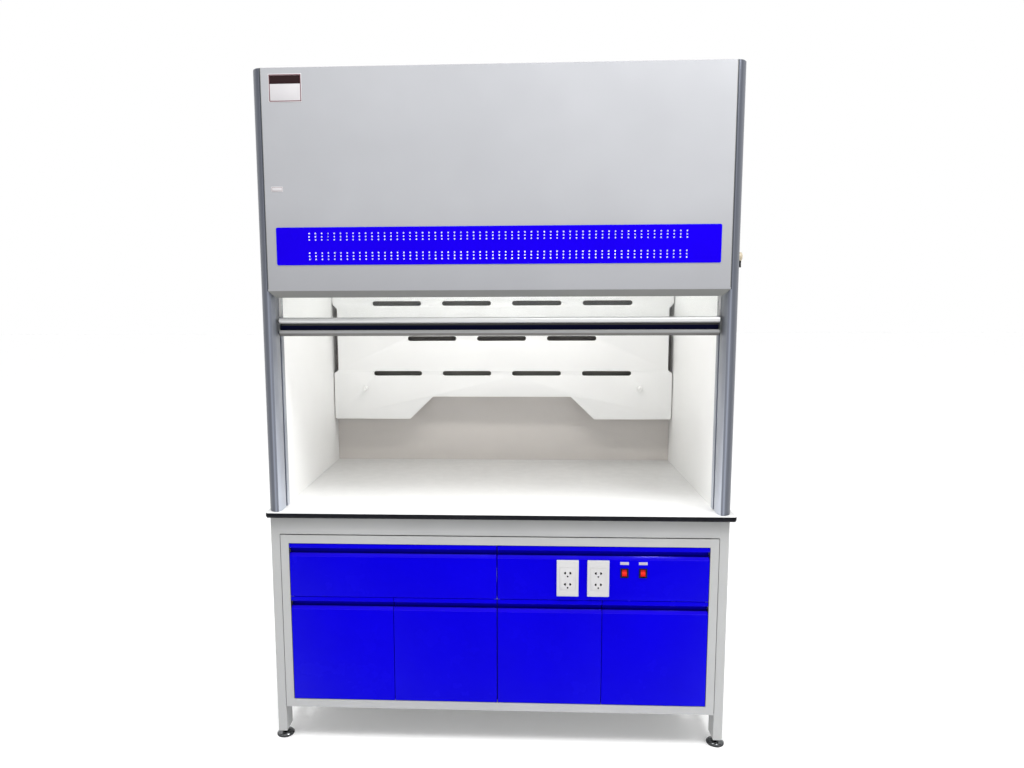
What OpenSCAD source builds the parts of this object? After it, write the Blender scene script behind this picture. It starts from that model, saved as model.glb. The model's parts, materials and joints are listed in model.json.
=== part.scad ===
// Walk-up bench fume hood: tube base frame, blue fronted cabinet, white worktop and a
// work chamber with slotted baffle, counterweighted sliding sash and exhaust collar.
// Millimetres, +Z up. The origin is on the floor under the middle of the hood.
// Depths are measured from the front edge of the worktop by the module from_front().

/* [Overall] */
// Width over the legs
hood_w = 1500; // [1500:1:1510]
// Depth of the worktop and of the hood above it
hood_d = 850; // [850:1:900]
// Height from the floor to the top of the roof
hood_h = 2200; // [2190:1:2240]
// Height of the working surface
worktop_h = 800; // [795:1:805]
// Thickness of the worktop
worktop_t = 18; // [16:1:20]
// Worktop overhang past the left legs
overhang_left = 10; // [10:1:14]
// Worktop overhang past the right legs
overhang_right = 17; // [10:1:19]

/* [Base frame] */
// Width of a leg tube, seen from the front
leg_w = 30; // [30:1:31]
// Depth of a leg tube, and height of the top rails
leg_d = 60; // [50:1:60]
// Distance of the leg tubes from the front edge of the worktop
leg_front = 22; // [20:1:24]
// Wall of the frame tubes
tube_wall = 2; // [1.5:0.5:3]
// Radius of a foot pad
foot_r = 29; // [24:1:32]
// Height of the gap that the levelling feet bridge
foot_h = 27; // [24:1:30]

/* [Cabinet] */
// Height of the underside of the cabinet
cabinet_z0 = 117; // [117:1:118]
// Depth of the cabinet
cabinet_d = 600; // [560:10:640]
// Width of the folded edge around the fronts
edge_w = 28; // [26:1:28]
// Sheet thickness of the cabinet and its fronts
sheet = 1.5; // [1.2:0.1:1.5]
// Depth of a door or drawer front
front_d = 18; // [18:1:20]
// Gap around each front
front_gap = 2; // [2:0.5:2.5]
// Height of the upper row of fronts
upper_row_h = 184; // [180:1:190]
// Height of the flat strip above the finger pull
strip_h = 14; // [13:1:18]
// Height of the finger pull's mouth
pull_h = 18; // [15:1:19]

/* [Work chamber] */
// Half the clear width between the side walls
chamber_half_w = 716; // [714:1:717]
// Distance of the rear wall from the front edge of the worktop
rear_wall_y = 815; // [815:1:816]
// Thickness of the white chamber lining
lining_t = 4; // [3:0.5:4]
// Height of the chamber ceiling
ceiling_z = 2120; // [2115:1:2122]
// Distance of the baffle face from the front edge of the worktop
baffle_y = 755; // [750:1:760]
// Thickness of the baffle
baffle_t = 6; // [5:0.5:6]
// Length of a baffle slot
slot_l = 205; // [180:5:210]
// Height of a baffle slot
slot_h = 20; // [16:1:22]
// Spacing of the baffle slots in a row
slot_pitch = 293; // [280:1:300]
// Outer radius of the exhaust collar
collar_r = 125; // [100:5:130]
// Height of the exhaust collar above the roof
collar_h = 100; // [80:5:120]

/* [Front and posts] */
// Height of the lower fold of the front panel
fascia_z0 = 1520; // [1515:1:1525]
// Half the width of the front panel
fascia_half_w = 721; // [719:1:722]
// Half the width over the posts
post_half_w = 759; // [757:1:760]
// Columns of holes in the perforated band
hole_columns = 60; // [40:1:60]
// Spacing of the hole columns
hole_pitch = 19.8; // [18:0.1:20]
// Radius of a hole in the perforated band
hole_r = 2.5; // [2:0.25:3.5]

/* [Sash] */
// Height of the underside of the sash handle
handle_z0 = 1373; // [1369:1:1377]
// Height of the sash glass
glass_h = 700; // [695:1:705]
// Thickness of the sash glass
glass_t = 6; // [5:0.5:6]
// Radius of the cable around a pulley, to the cable's centre
cable_turn_r = 45; // [44:0.5:46]
// Length of a counterweight
weight_l = 560; // [540:10:580]

/* [Hidden] */
$fn = 48;
eps = 0.5;

half_w = hood_w / 2;
worktop_z0 = worktop_h - worktop_t;
leg_in = half_w - leg_w;
rear_leg = hood_d - leg_front - leg_d;
rail_z0 = worktop_z0 - leg_d;
bearer = 30;
bearer_z0 = cabinet_z0 - bearer;
foot_x = half_w - leg_w / 2;

cabinet_y = leg_front - 2;
cabinet_half_w = leg_in - 2;
cabinet_z1 = rail_z0 - 2;
bay_half_w = cabinet_half_w + 1 - edge_w;
bay_z0 = cabinet_z0 + edge_w;
bay_z1 = cabinet_z1 - edge_w;
cabinet_rear = cabinet_y + cabinet_d;
upper_row_z0 = bay_z1 - upper_row_h;
front_inner = front_gap * 0.75;
front_w = (bay_half_w - front_gap - front_inner - front_gap) / 2;
wide_front_w = 2 * front_w + front_gap;
door_h = upper_row_z0 - front_gap / 2 - bay_z0 - front_gap;
wide_front_h = bay_z1 - front_gap - upper_row_z0 - front_gap / 2;
door_z0 = bay_z0 + front_gap;
wide_front_z0 = upper_row_z0 + front_gap / 2;
pivot_in = 3;
pivot_r = 2;
running_gap = 0.05;
pull_d = 15.5;
lip_back = 8;
bevel_h = 10;

drawer_side = 13;
runner_t = 6.3;
drawer_d = 520;
drawer_z0 = wide_front_z0 + 20;
drawer_h = 130;
runner_z0 = 560;
runner_h = 45;

socket_x = [231, 330.5];
socket_z = 585;
socket_w = 71.5;
socket_h = 122;
rocker_x = [415.7, 476];
rocker_z = 603;
rocker_pivot_y = cabinet_y + 7;
rocker_tilt = 8;
rocker_pin_r = 1.5;

post_inner_x = 711;
post_nose_y = 12;
post_rear_y = 110;
post_wall = 3;
post_z1 = hood_h - 2;
sash_y = 78;
groove_half = 7;
groove_x1 = 740;
side_x = 755;
shell_t = 1.5;
rear_y = hood_d;

fascia_y = 4;
fascia_lip = 20;
band_z0 = 1600.5;
band_z1 = 1717;
band_half_w = 688.5;
hole_groups = [1628, 1688];
hole_rows = [-9.8, 0, 9.8];

collar_y = 670;
collar_wall = 2;
neck_r = collar_r - 3;
lamp_y0 = 210;
lamp_y1 = 330;
lamp_half = 600;

handle_half_w = 704;
handle_h = 62;
glass_half_w = 718;
glass_z0 = handle_z0 + 22;
glass_z1 = glass_z0 + glass_h;
cable_x = 732;
cable_r = 1.5;
shaft_y = sash_y + cable_turn_r;
shaft_z = 2145;
shaft_r = 8;
pulley_w = 12;
pulley_r = cable_turn_r + 4;
weight_y = shaft_y + cable_turn_r;
weight_z0 = 870;
weight_t = 20;
weight_d = 108;

outlet_y = 128;
outlet_z = 1625;

steel_grey = [0.72, 0.74, 0.76];
front_blue = [0.02, 0.01, 0.85];
lining_white = [0.93, 0.93, 0.91];
post_grey = [0.55, 0.58, 0.64];

// ---------- Helpers ----------

// Puts y = 0 at the front edge of the worktop
module from_front() {
    translate([0, -hood_d / 2, 0]) children();
}

// A box given by its two corners
module slab(x0, x1, y0, y1, z0, z1) {
    translate([x0, y0, z0]) cube([x1 - x0, y1 - y0, z1 - z0]);
}

// The same piece on the right and, mirrored, on the left
module both_sides() {
    children();
    mirror([1, 0, 0]) children();
}

// An upright rod
module rod_z(x, y, z0, z1, r) {
    translate([x, y, z0]) cylinder(r = r, h = z1 - z0);
}

// A rod along +Y
module rod_y(x, y0, y1, z, r) {
    translate([x, y0, z]) rotate([-90, 0, 0]) cylinder(r = r, h = y1 - y0);
}

// A rod along +X
module rod_x(x0, x1, y, z, r) {
    translate([x0, y, z]) rotate([0, 90, 0]) cylinder(r = r, h = x1 - x0);
}

// Extrudes a (y, z) outline along X
module along_x(x0, x1) {
    translate([x0, 0, 0]) rotate([90, 0, 90]) linear_extrude(x1 - x0) children();
}

// Extrudes an (x, z) outline along Y
module along_y(y0, y1) {
    translate([0, y1, 0]) rotate([90, 0, 0]) linear_extrude(y1 - y0) children();
}

// Points on an elliptical arc
function arc(cx, cy, rx, ry, a0, a1, n) = [
    for (i = [0:n]) let (a = a0 + (a1 - a0) * i / n) [cx + rx * cos(a), cy + ry * sin(a)]
];

// A slot with round ends, centred on (x, z)
module round_slot(x, z, l, h) {
    translate([x - (l - h) / 2, z - h / 2]) square([l - h, h]);
    translate([x - (l - h) / 2, z]) circle(r = h / 2);
    translate([x + (l - h) / 2, z]) circle(r = h / 2);
}

// ---------- Base frame ----------

// One side of the base: two legs joined by a top rail and a lower rail, all open tubes
module leg_frame() {
    w = tube_wall;
    difference() {
        union() {
            slab(leg_in, half_w, leg_front, leg_front + leg_d, foot_h, worktop_z0);
            slab(leg_in, half_w, rear_leg, rear_leg + leg_d, foot_h, worktop_z0);
            slab(leg_in, half_w, leg_front + eps, rear_leg + eps, rail_z0, worktop_z0);
            slab(leg_in, half_w, leg_front + eps, rear_leg + eps, bearer_z0, cabinet_z0);
        }
        for (y = [leg_front, rear_leg])
            slab(leg_in + w, half_w - w, y + w, y + leg_d - w, foot_h + 6, worktop_z0 + 1);
        for (z = [[rail_z0, worktop_z0], [bearer_z0, cabinet_z0]])
            slab(leg_in + w, half_w - w, leg_front + w + 1, rear_leg + w + 1, z[0] + w, z[1] - w);
        for (y = [leg_front, rear_leg])
            rod_z(foot_x, y + leg_d / 2, foot_h - 1, foot_h + 7, 5);
    }
}

module leg_frames() {
    color(steel_grey) from_front() both_sides() leg_frame();
}

// A hollow tube across the hood
module cross_tube(y0, y1, z0, z1) {
    w = tube_wall;
    difference() {
        slab(-leg_in, leg_in, y0, y1, z0, z1);
        slab(-leg_in - 1, leg_in + 1, y0 + w, y1 - w, z0 + w, z1 - w);
    }
}

module cross_rails() {
    color(steel_grey) from_front() {
        cross_tube(leg_front, leg_front + bearer, rail_z0, worktop_z0);
        cross_tube(rear_leg + bearer, rear_leg + 2 * bearer, rail_z0, worktop_z0);
        cross_tube(leg_front + 90, leg_front + 90 + bearer, bearer_z0, cabinet_z0);
        cross_tube(cabinet_rear - 60, cabinet_rear - 60 + bearer, bearer_z0, cabinet_z0);
    }
}

module at_feet() {
    from_front() for (sx = [-1, 1], y = [leg_front, rear_leg])
        translate([sx * foot_x, y + leg_d / 2, 0]) children();
}

module foot_pads() {
    color([0.05, 0.05, 0.06]) at_feet() rotate_extrude()
        polygon([[0, 0], [foot_r - 1, 0], [foot_r, 1], [foot_r, 5], [0, 5]]);
}

// Dome, threaded stem and lock nut of each levelling foot
module foot_stems() {
    dome = arc(0, 5, foot_r - 2, 9, 0, 78, 8);
    color([0.75, 0.75, 0.77]) at_feet() {
        rotate_extrude() polygon(concat([[0, 5]], dome, [[0, 14]]));
        translate([0, 0, 5]) cylinder(r = 5, h = 55);
        translate([0, 0, foot_h - 7]) cylinder(r = 9.5, h = 6.5, $fn = 6);
    }
}

// ---------- Cabinet carcass ----------

// Side wall with folded edges front, top and rear that reach out to the leg frame
module cabinet_side() {
    x0 = bay_half_w;
    y1 = cabinet_rear;
    slab(x0, cabinet_half_w, cabinet_y, y1, cabinet_z1 - sheet, cabinet_z1);
    slab(x0, x0 + sheet, cabinet_y, y1, cabinet_z0, cabinet_z1);
    slab(x0, cabinet_half_w, cabinet_y, cabinet_y + sheet, cabinet_z0, cabinet_z1);
    slab(x0, cabinet_half_w, y1 - sheet, y1, cabinet_z0, cabinet_z1);
}

module cabinet_sides() {
    color(steel_grey) from_front() both_sides() cabinet_side();
}

// A deck with folded edges front and rear; the deck itself is at z0, the edges reach z1
module deck(z0, z1) {
    lo = min(z0, z1);
    hi = max(z0, z1);
    up = z1 > z0 ? 1 : -1;
    y1 = cabinet_rear;
    slab(-bay_half_w, bay_half_w, cabinet_y, y1, z0 + min(0, up * sheet), z0 + max(0, up * sheet));
    slab(-bay_half_w, bay_half_w, cabinet_y, cabinet_y + sheet, lo, hi);
    slab(-bay_half_w, bay_half_w, y1 - sheet, y1, lo, hi);
}

module cabinet_top() {
    color(steel_grey) from_front() deck(bay_z1, cabinet_z1);
}

// The floor also holds the lower door pivots, so it is drilled for them
module cabinet_bottom() {
    color(steel_grey) from_front() difference() {
        deck(bay_z0, cabinet_z0);
        for (x = pivot_xs)
            rod_z(x, cabinet_y + pivot_in, bay_z0 - 3, bay_z0 + 1, pivot_r);
    }
}

module cabinet_back() {
    color(steel_grey) from_front()
        slab(-cabinet_half_w, cabinet_half_w, cabinet_rear, cabinet_rear + sheet, cabinet_z0, cabinet_z1);
}

// Upright sheet between the two cupboards, with a door stop at its front edge
module cabinet_divider() {
    stop_y = cabinet_y + front_d + 4;
    mid = upper_row_z0;
    color(steel_grey) from_front() {
        slab(-sheet / 2, sheet / 2, stop_y, cabinet_rear - sheet, bay_z0, mid - sheet / 2);
        slab(-sheet / 2, sheet / 2, stop_y, cabinet_rear - sheet, mid + sheet / 2, bay_z1);
        slab(-12, 12, stop_y, stop_y + sheet, bay_z0, mid - sheet / 2);
    }
}

// Sheet between the upper row and the cupboards; its front tabs hold the upper door pivots
module cabinet_midrail() {
    z0 = upper_row_z0 - sheet / 2;
    z1 = z0 + sheet;
    color(steel_grey) from_front() difference() {
        union() {
            slab(-bay_half_w, bay_half_w, cabinet_y + 8, cabinet_rear - sheet, z0, z1);
            for (x = pivot_xs)
                slab(x - 5, x + 5, cabinet_y + eps, cabinet_y + 9, z0, z1);
        }
        for (x = pivot_xs)
            rod_z(x, cabinet_y + pivot_in, z0 - 1, z1 + 1, pivot_r);
    }
}

module cupboard_shelves() {
    z = 322;
    color(steel_grey) from_front() both_sides() {
        slab(sheet / 2 + 1, bay_half_w - 1, 110, cabinet_rear - 2, z, z + sheet);
        slab(sheet / 2 + 1, bay_half_w - 1, 110, 110 + sheet, z - 18, z + eps);
    }
}

// ---------- Fronts ----------

// Left edge of each front in the lower row, and the hinge line of each door
door_x0 = [
    -bay_half_w + front_gap, -front_inner - front_w,
    front_inner, bay_half_w - front_gap - front_w
];
pivot_xs = [
    door_x0[0] + pivot_in, door_x0[1] + front_w - pivot_in,
    door_x0[2] + pivot_in, door_x0[3] + front_w - pivot_in
];

// Outline of the finger pull in (y, z), measured from the top of a front's face:
// a slot below the flat strip, with a lip that slopes down to the face
pull_outline = [
    [-1, -strip_h], [pull_d, -strip_h], [pull_d, -strip_h - pull_h - 6],
    [lip_back + 2, -strip_h - pull_h], [lip_back, -strip_h - pull_h],
    [0, -strip_h - pull_h - bevel_h], [-1, -strip_h - pull_h - bevel_h]
];

// A folded sheet front: closed head with the finger pull, pan below it, open at the rear
module front_panel(x0, z0, w, h) {
    head = strip_h + pull_h + bevel_h + sheet;
    translate([x0, cabinet_y, z0]) difference() {
        cube([w, front_d, h]);
        slab(sheet, w - sheet, sheet, front_d + 1, sheet, h - head);
        translate([0, 0, h]) along_x(-1, w + 1) polygon(pull_outline);
        slab(sheet, w - sheet, sheet, front_d - sheet, h - strip_h + sheet, h - sheet);
    }
}

// A door: the front panel with a drilled block at the top and bottom of its hinge edge
module door(i) {
    x = pivot_xs[i];
    y = cabinet_y + pivot_in;
    inward = (i % 2 == 0) ? 1 : -1;
    block_x0 = x + min(-2 * inward, 9 * inward);
    block_x1 = x + max(-2 * inward, 9 * inward);
    color(front_blue) from_front() difference() {
        union() {
            front_panel(door_x0[i], door_z0, front_w, door_h);
            for (z = [[door_z0, door_z0 + 12], [door_z0 + door_h - strip_h, door_z0 + door_h]])
                slab(block_x0, block_x1, cabinet_y + eps, cabinet_y + 12, z[0], z[1]);
        }
        rod_z(x, y, door_z0 - 1, door_z0 + 10, pivot_r + running_gap);
        rod_z(x, y, door_z0 + door_h - 10, door_z0 + door_h + 1, pivot_r + running_gap);
    }
}

module left_outer_door() { door(0); }
module left_inner_door() { door(1); }
module right_inner_door() { door(2); }
module right_outer_door() { door(3); }

module door_pivot_pins() {
    z_top = upper_row_z0 + sheet / 2;
    color([0.75, 0.75, 0.77]) from_front() for (x = pivot_xs) {
        rod_z(x, cabinet_y + pivot_in, bay_z0 - sheet, door_z0 + 8, pivot_r);
        rod_z(x, cabinet_y + pivot_in, door_z0 + door_h - 8, z_top, pivot_r);
    }
}

module drawer_front() {
    color(front_blue) from_front()
        front_panel(door_x0[0], wide_front_z0, wide_front_w, wide_front_h);
}

// Open tray behind the drawer front
module drawer_box() {
    x0 = -bay_half_w + drawer_side;
    x1 = -sheet / 2 - drawer_side;
    y0 = cabinet_y + front_d;
    color(steel_grey) from_front() difference() {
        slab(x0, x1, y0, y0 + drawer_d, drawer_z0, drawer_z0 + drawer_h);
        slab(x0 + sheet, x1 - sheet, y0 + sheet, y0 + drawer_d - sheet,
             drawer_z0 + sheet, drawer_z0 + drawer_h + 1);
    }
}

// Channel runner: web against the wall, two short flanges towards the drawer
module runner(x_wall, inward, y0, y1, t) {
    x0 = x_wall + min(0, inward * t);
    x1 = x_wall + max(0, inward * t);
    xw0 = x_wall + min(0, inward * sheet);
    xw1 = x_wall + max(0, inward * sheet);
    slab(xw0, xw1, y0, y1, runner_z0, runner_z0 + runner_h);
    slab(x0, x1, y0, y1, runner_z0, runner_z0 + 6);
    slab(x0, x1, y0, y1, runner_z0 + runner_h - 6, runner_z0 + runner_h);
}

module drawer_fixed_runners() {
    color([0.8, 0.8, 0.8]) from_front() {
        runner(-bay_half_w, 1, cabinet_y + front_d + 6, cabinet_y + drawer_d, runner_t);
        runner(-sheet / 2, -1, cabinet_y + front_d + 6, cabinet_y + drawer_d, runner_t);
    }
}

module drawer_moving_runners() {
    color([0.8, 0.8, 0.8]) from_front() {
        runner(-bay_half_w + drawer_side, -1, cabinet_y + front_d + 2, cabinet_y + drawer_d, runner_t);
        runner(-sheet / 2 - drawer_side, 1, cabinet_y + front_d + 2, cabinet_y + drawer_d, runner_t);
    }
}

// ---------- Service panel ----------

module service_panel() {
    color(front_blue) from_front() difference() {
        front_panel(front_inner, wide_front_z0, wide_front_w, wide_front_h);
        for (x = socket_x)
            slab(x - 27, x + 27, cabinet_y - 1, cabinet_y + 3, socket_z - 47, socket_z + 47);
        for (x = rocker_x)
            slab(x - 11.5, x + 11.5, cabinet_y - 1, cabinet_y + 3, rocker_z - 14.5, rocker_z + 14.5);
    }
}

// Steel box that encloses the wiring behind the service panel, open towards it
module service_back_box() {
    color(steel_grey) from_front() difference() {
        slab(165, 520, cabinet_y + 2, cabinet_y + 75, 525, 640);
        slab(165 + sheet, 520 - sheet, cabinet_y + 1, cabinet_y + 75 - sheet, 525 + sheet, 640 - sheet);
    }
}

module socket_plates() {
    color([0.93, 0.93, 0.92]) from_front() for (x = socket_x) difference() {
        slab(x - socket_w / 2, x + socket_w / 2, cabinet_y - 8, cabinet_y,
             socket_z - socket_h / 2, socket_z + socket_h / 2);
        slab(x - 26, x + 26, cabinet_y - 9, cabinet_y + 1, socket_z - 37, socket_z + 37);
    }
}

// Twin outlet: each outlet has two flat pin slots and a round earth hole
module socket_modules() {
    color([0.96, 0.96, 0.95]) from_front() for (x = socket_x) difference() {
        slab(x - 25.7, x + 25.7, cabinet_y - 9, cabinet_y + 28, socket_z - 36.7, socket_z + 36.7);
        for (z = [socket_z - 19, socket_z + 19]) {
            for (dx = [-7.7, 7.7])
                slab(x + dx - 1.3, x + dx + 1.3, cabinet_y - 10, cabinet_y + 12, z - 3.5, z + 3.5);
            rod_y(x, cabinet_y - 10, cabinet_y + 12, z - 11.5, 2.6);
        }
    }
}

module rocker_bezels() {
    color([0.03, 0.03, 0.03]) from_front() for (x = rocker_x) difference() {
        union() {
            slab(x - 13.4, x + 13.4, cabinet_y - 2.5, cabinet_y, rocker_z - 15.8, rocker_z + 15.8);
            slab(x - 11.4, x + 11.4, cabinet_y - 1, cabinet_y + 22, rocker_z - 14.4, rocker_z + 14.4);
        }
        slab(x - 8.4, x + 8.4, cabinet_y - 4, cabinet_y + 20, rocker_z - 13.1, rocker_z + 13.1);
        rod_x(x - 12, x + 12, rocker_pivot_y, rocker_z, rocker_pin_r + running_gap);
    }
}

// Rocker with two inclined press faces, resting tipped to its off side, and its pivot pin
module rocker(x) {
    color([0.85, 0.05, 0.04]) from_front() translate([x, rocker_pivot_y, rocker_z]) {
        rotate([-rocker_tilt, 0, 0]) along_x(-8, 8)
            polygon([[-8.8, -11.2], [-7.6, 0], [-8.8, 11.2], [0, 11.2], [5, 5], [5, -5], [0, -11.2]]);
        rod_x(-11.2, 11.2, 0, 0, rocker_pin_r);
    }
}

module lamp_rocker() { rocker(rocker_x[0]); }
module fan_rocker() { rocker(rocker_x[1]); }

// Plain plates without lettering: two over the rockers, two on the front panel
module blank_labels() {
    color([0.95, 0.95, 0.94]) from_front() {
        for (x = rocker_x)
            slab(x - 14, x + 14, cabinet_y - 0.6, cabinet_y, 631, 640.5);
        slab(-696, -593, fascia_y - 0.6, fascia_y, 2094, 2178);
        slab(-699, -662, fascia_y - 0.6, fascia_y, 1826.5, 1842);
    }
}

// ---------- Worktop ----------

// Slab with rounded front corners, bevelled below along the front and both ends
module worktop() {
    x0 = -half_w - overhang_left;
    x1 = half_w + overhang_right;
    r = 12;
    bevel = 6;
    corner = [[-1, -1], [bevel, -1], [bevel, 0], [0, bevel], [-1, bevel]];
    color([0.95, 0.95, 0.95]) from_front() difference() {
        union() {
            slab(x0 + r, x1 - r, 0, hood_d, worktop_z0, worktop_h);
            slab(x0, x1, r, hood_d, worktop_z0, worktop_h);
            for (x = [x0 + r, x1 - r])
                rod_z(x, r, worktop_z0, worktop_h, r);
        }
        translate([0, 0, worktop_z0]) {
            along_x(x0 - 1, x1 + 1) polygon(corner);
            translate([x0, 0, 0]) along_y(-1, hood_d + 1) polygon(corner);
            translate([x1, 0, 0]) mirror([1, 0, 0]) along_y(-1, hood_d + 1) polygon(corner);
        }
    }
}

// ---------- Posts and shell ----------

// Airfoil outline of the right post, seen from above
post_outline = concat(
    [[post_inner_x, post_rear_y], [post_half_w, post_rear_y]],
    arc(post_half_w - 35, post_nose_y + 56, 35, 56, 0, -90, 18),
    arc(post_half_w - 35, post_nose_y + 30, post_half_w - 35 - post_inner_x, 30, -100, -180, 8)
);
// Front chamber of the hollow post
post_chamber = concat(
    arc(post_half_w - 35, post_nose_y + 56, 35 - post_wall, 56 - post_wall, 0, -90, 14),
    arc(post_half_w - 35, post_nose_y + 30, post_half_w - 35 - post_inner_x - post_wall,
        30 - post_wall, -100, -180, 6),
    [[post_inner_x + post_wall, post_nose_y + 56]]
);

// Right post with its sash groove, and a pocket for the pulley at its top
module post() {
    g0 = sash_y - groove_half;
    g1 = sash_y + groove_half;
    difference() {
        translate([0, 0, worktop_h]) linear_extrude(post_z1 - worktop_h) difference() {
            polygon(post_outline);
            polygon(post_chamber);
            translate([post_inner_x - 1, g0]) square([groove_x1 - post_inner_x + 1, g1 - g0]);
            translate([post_inner_x + 3, g1 + 3])
                square([post_half_w - post_inner_x - 6, post_rear_y - g1 - 6]);
        }
        slab(post_inner_x - 1, groove_x1 + 1, sash_y - 10, post_rear_y + 1, shaft_z - 60, post_z1 + 1);
    }
}

module posts() {
    color(post_grey) from_front() both_sides() post();
}

screw_ys = [post_rear_y + 40, rear_y - 30];
screw_zs = [850, 1180, 1510, 1840, 2170];
screw_r = 2;

// Each side panel is drilled for its row of screws front and rear
module side_panels() {
    color(steel_grey) from_front() both_sides() difference() {
        slab(side_x - shell_t, side_x, post_rear_y, rear_y - shell_t, worktop_h, post_z1);
        for (y = screw_ys, z = screw_zs)
            rod_x(side_x - shell_t - 1, side_x + 1, y, z, screw_r);
    }
}

// Inner side walls
module side_linings() {
    x = chamber_half_w;
    color(lining_white) from_front() both_sides()
        slab(x, x + lining_t, post_rear_y, rear_wall_y, worktop_h, ceiling_z);
}

module rear_lining() {
    x = chamber_half_w + lining_t;
    color(lining_white) from_front()
        slab(-x, x, rear_wall_y, rear_wall_y + lining_t, worktop_h, ceiling_z + lining_t);
}

module rear_panel() {
    color(steel_grey) from_front()
        slab(-side_x, side_x, rear_y - shell_t, rear_y, worktop_h, post_z1);
}

module roof_panel() {
    color(steel_grey) from_front() difference() {
        slab(-side_x, side_x, 42, rear_y, post_z1, post_z1 + shell_t);
        rod_z(0, collar_y, post_z1 - 1, post_z1 + 3, neck_r);
    }
}

// ---------- Chamber ----------

baffle_z0 = 988;
baffle_z1 = 1700;
baffle_half = 712;
notch_half = 694;
spacer_x = 577;

// Outline of the right half of the baffle, bottom middle first: a raised cut-out, a
// rounded corner and a shallow notch in the side edge
baffle_half_outline = concat(
    [[291, baffle_z0 + 96], [390, baffle_z0]],
    arc(baffle_half - 8, baffle_z0 + 8, 8, 8, -90, 0, 6),
    [[baffle_half, 1183], [notch_half, 1197], [notch_half, 1454], [baffle_half, 1474],
     [baffle_half, baffle_z1]]
);
baffle_outline = concat(
    baffle_half_outline,
    [for (i = [len(baffle_half_outline) - 1:-1:0]) [-baffle_half_outline[i][0], baffle_half_outline[i][1]]]
);
four_slots = [-1.5, -0.5, 0.5, 1.5];
three_slots = [-1, 0, 1];

module baffle() {
    rows = [[1183, four_slots], [1330, three_slots], [1477, four_slots], [1630, three_slots]];
    color(lining_white) from_front() along_y(baffle_y, baffle_y + baffle_t) difference() {
        polygon(baffle_outline);
        for (row = rows, k = row[1])
            round_slot(k * slot_pitch, row[0], slot_l, slot_h);
        for (sx = [-1, 1], z = [1120, 1560])
            translate([sx * spacer_x, z]) circle(r = 4);
    }
}

// Sloping upper baffle that leads to the exhaust collar
module upper_baffle() {
    y1 = baffle_y + baffle_t;
    color(lining_white) from_front() along_x(-baffle_half, baffle_half)
        polygon([[y1 - baffle_t, baffle_z1], [y1, baffle_z1], [y1 - 225, baffle_z1 + 360],
                 [y1 - 225 - baffle_t, baffle_z1 + 360]]);
}

// Round white grip nuts on the baffle face
module baffle_knobs() {
    grip = concat([[0, 0], [7, 0], [7, 6]], arc(0, 14, 10.5, 9, -50, 85, 9), [[0, 23]]);
    color([0.96, 0.96, 0.95]) from_front() for (sx = [-1, 1])
        translate([sx * spacer_x, baffle_y, 1120]) rotate([90, 0, 0]) rotate_extrude() polygon(grip);
}

// Studs that hold the baffle off the rear wall
module baffle_spacers() {
    color([0.9, 0.9, 0.9]) from_front() for (sx = [-1, 1], z = [1120, 1560]) {
        rod_y(sx * spacer_x, baffle_y + baffle_t, rear_wall_y, z, 9);
        rod_y(sx * spacer_x, baffle_y, rear_wall_y, z, 4);
    }
}

module ceiling_lining() {
    x = chamber_half_w;
    color(lining_white) from_front() difference() {
        slab(-x, x, 95, rear_wall_y, ceiling_z, ceiling_z + lining_t);
        slab(-lamp_half, lamp_half, lamp_y0, lamp_y1, ceiling_z - 1, ceiling_z + lining_t + 1);
        rod_z(0, collar_y, ceiling_z - 1, ceiling_z + lining_t + 1, neck_r);
    }
}

// Narrower neck from the ceiling through the roof, a flange on the roof, and the round
// spigot that the duct slips over
module exhaust_collar() {
    z1 = hood_h + collar_h;
    z0 = post_z1 + shell_t;
    flange_z1 = z0 + 2;
    color([0.9, 0.9, 0.9]) from_front() translate([0, collar_y, 0]) rotate_extrude($fn = 96)
        polygon([
            [neck_r - collar_wall, ceiling_z], [neck_r, ceiling_z], [neck_r, z0],
            [collar_r + 25, z0], [collar_r + 25, flange_z1], [collar_r, flange_z1], [collar_r, z1],
            [collar_r - collar_wall, z1], [collar_r - collar_wall, flange_z1],
            [neck_r - collar_wall, flange_z1]
        ]);
}

// ---------- Lamp ----------

module lamp_housing() {
    z0 = ceiling_z + lining_t;
    color([0.9, 0.9, 0.9]) from_front() {
        difference() {
            slab(-lamp_half - 12, lamp_half + 12, lamp_y0 - 12, lamp_y1 + 12, z0, z0 + 60);
            slab(-lamp_half, lamp_half, lamp_y0, lamp_y1, z0 - 1, z0 + 60 - shell_t);
        }
        for (sx = [-1, 1], y = [lamp_y0 + 30, lamp_y1 - 30])
            slab(sx * 593 - 7, sx * 593 + 7, y - 14, y + 14, z0 + 20, z0 + 59);
    }
}

module lamp_tubes() {
    color([1, 1, 0.95]) from_front() for (y = [lamp_y0 + 30, lamp_y1 - 30])
        rod_x(-586, 586, y, ceiling_z + 38, 13);
}

module lamp_cover() {
    color([0.9, 0.95, 1, 0.5]) from_front()
        slab(-lamp_half - 6, lamp_half + 6, lamp_y0 - 6, lamp_y1 + 6, ceiling_z - 4, ceiling_z);
}

// ---------- Front panel ----------

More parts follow.
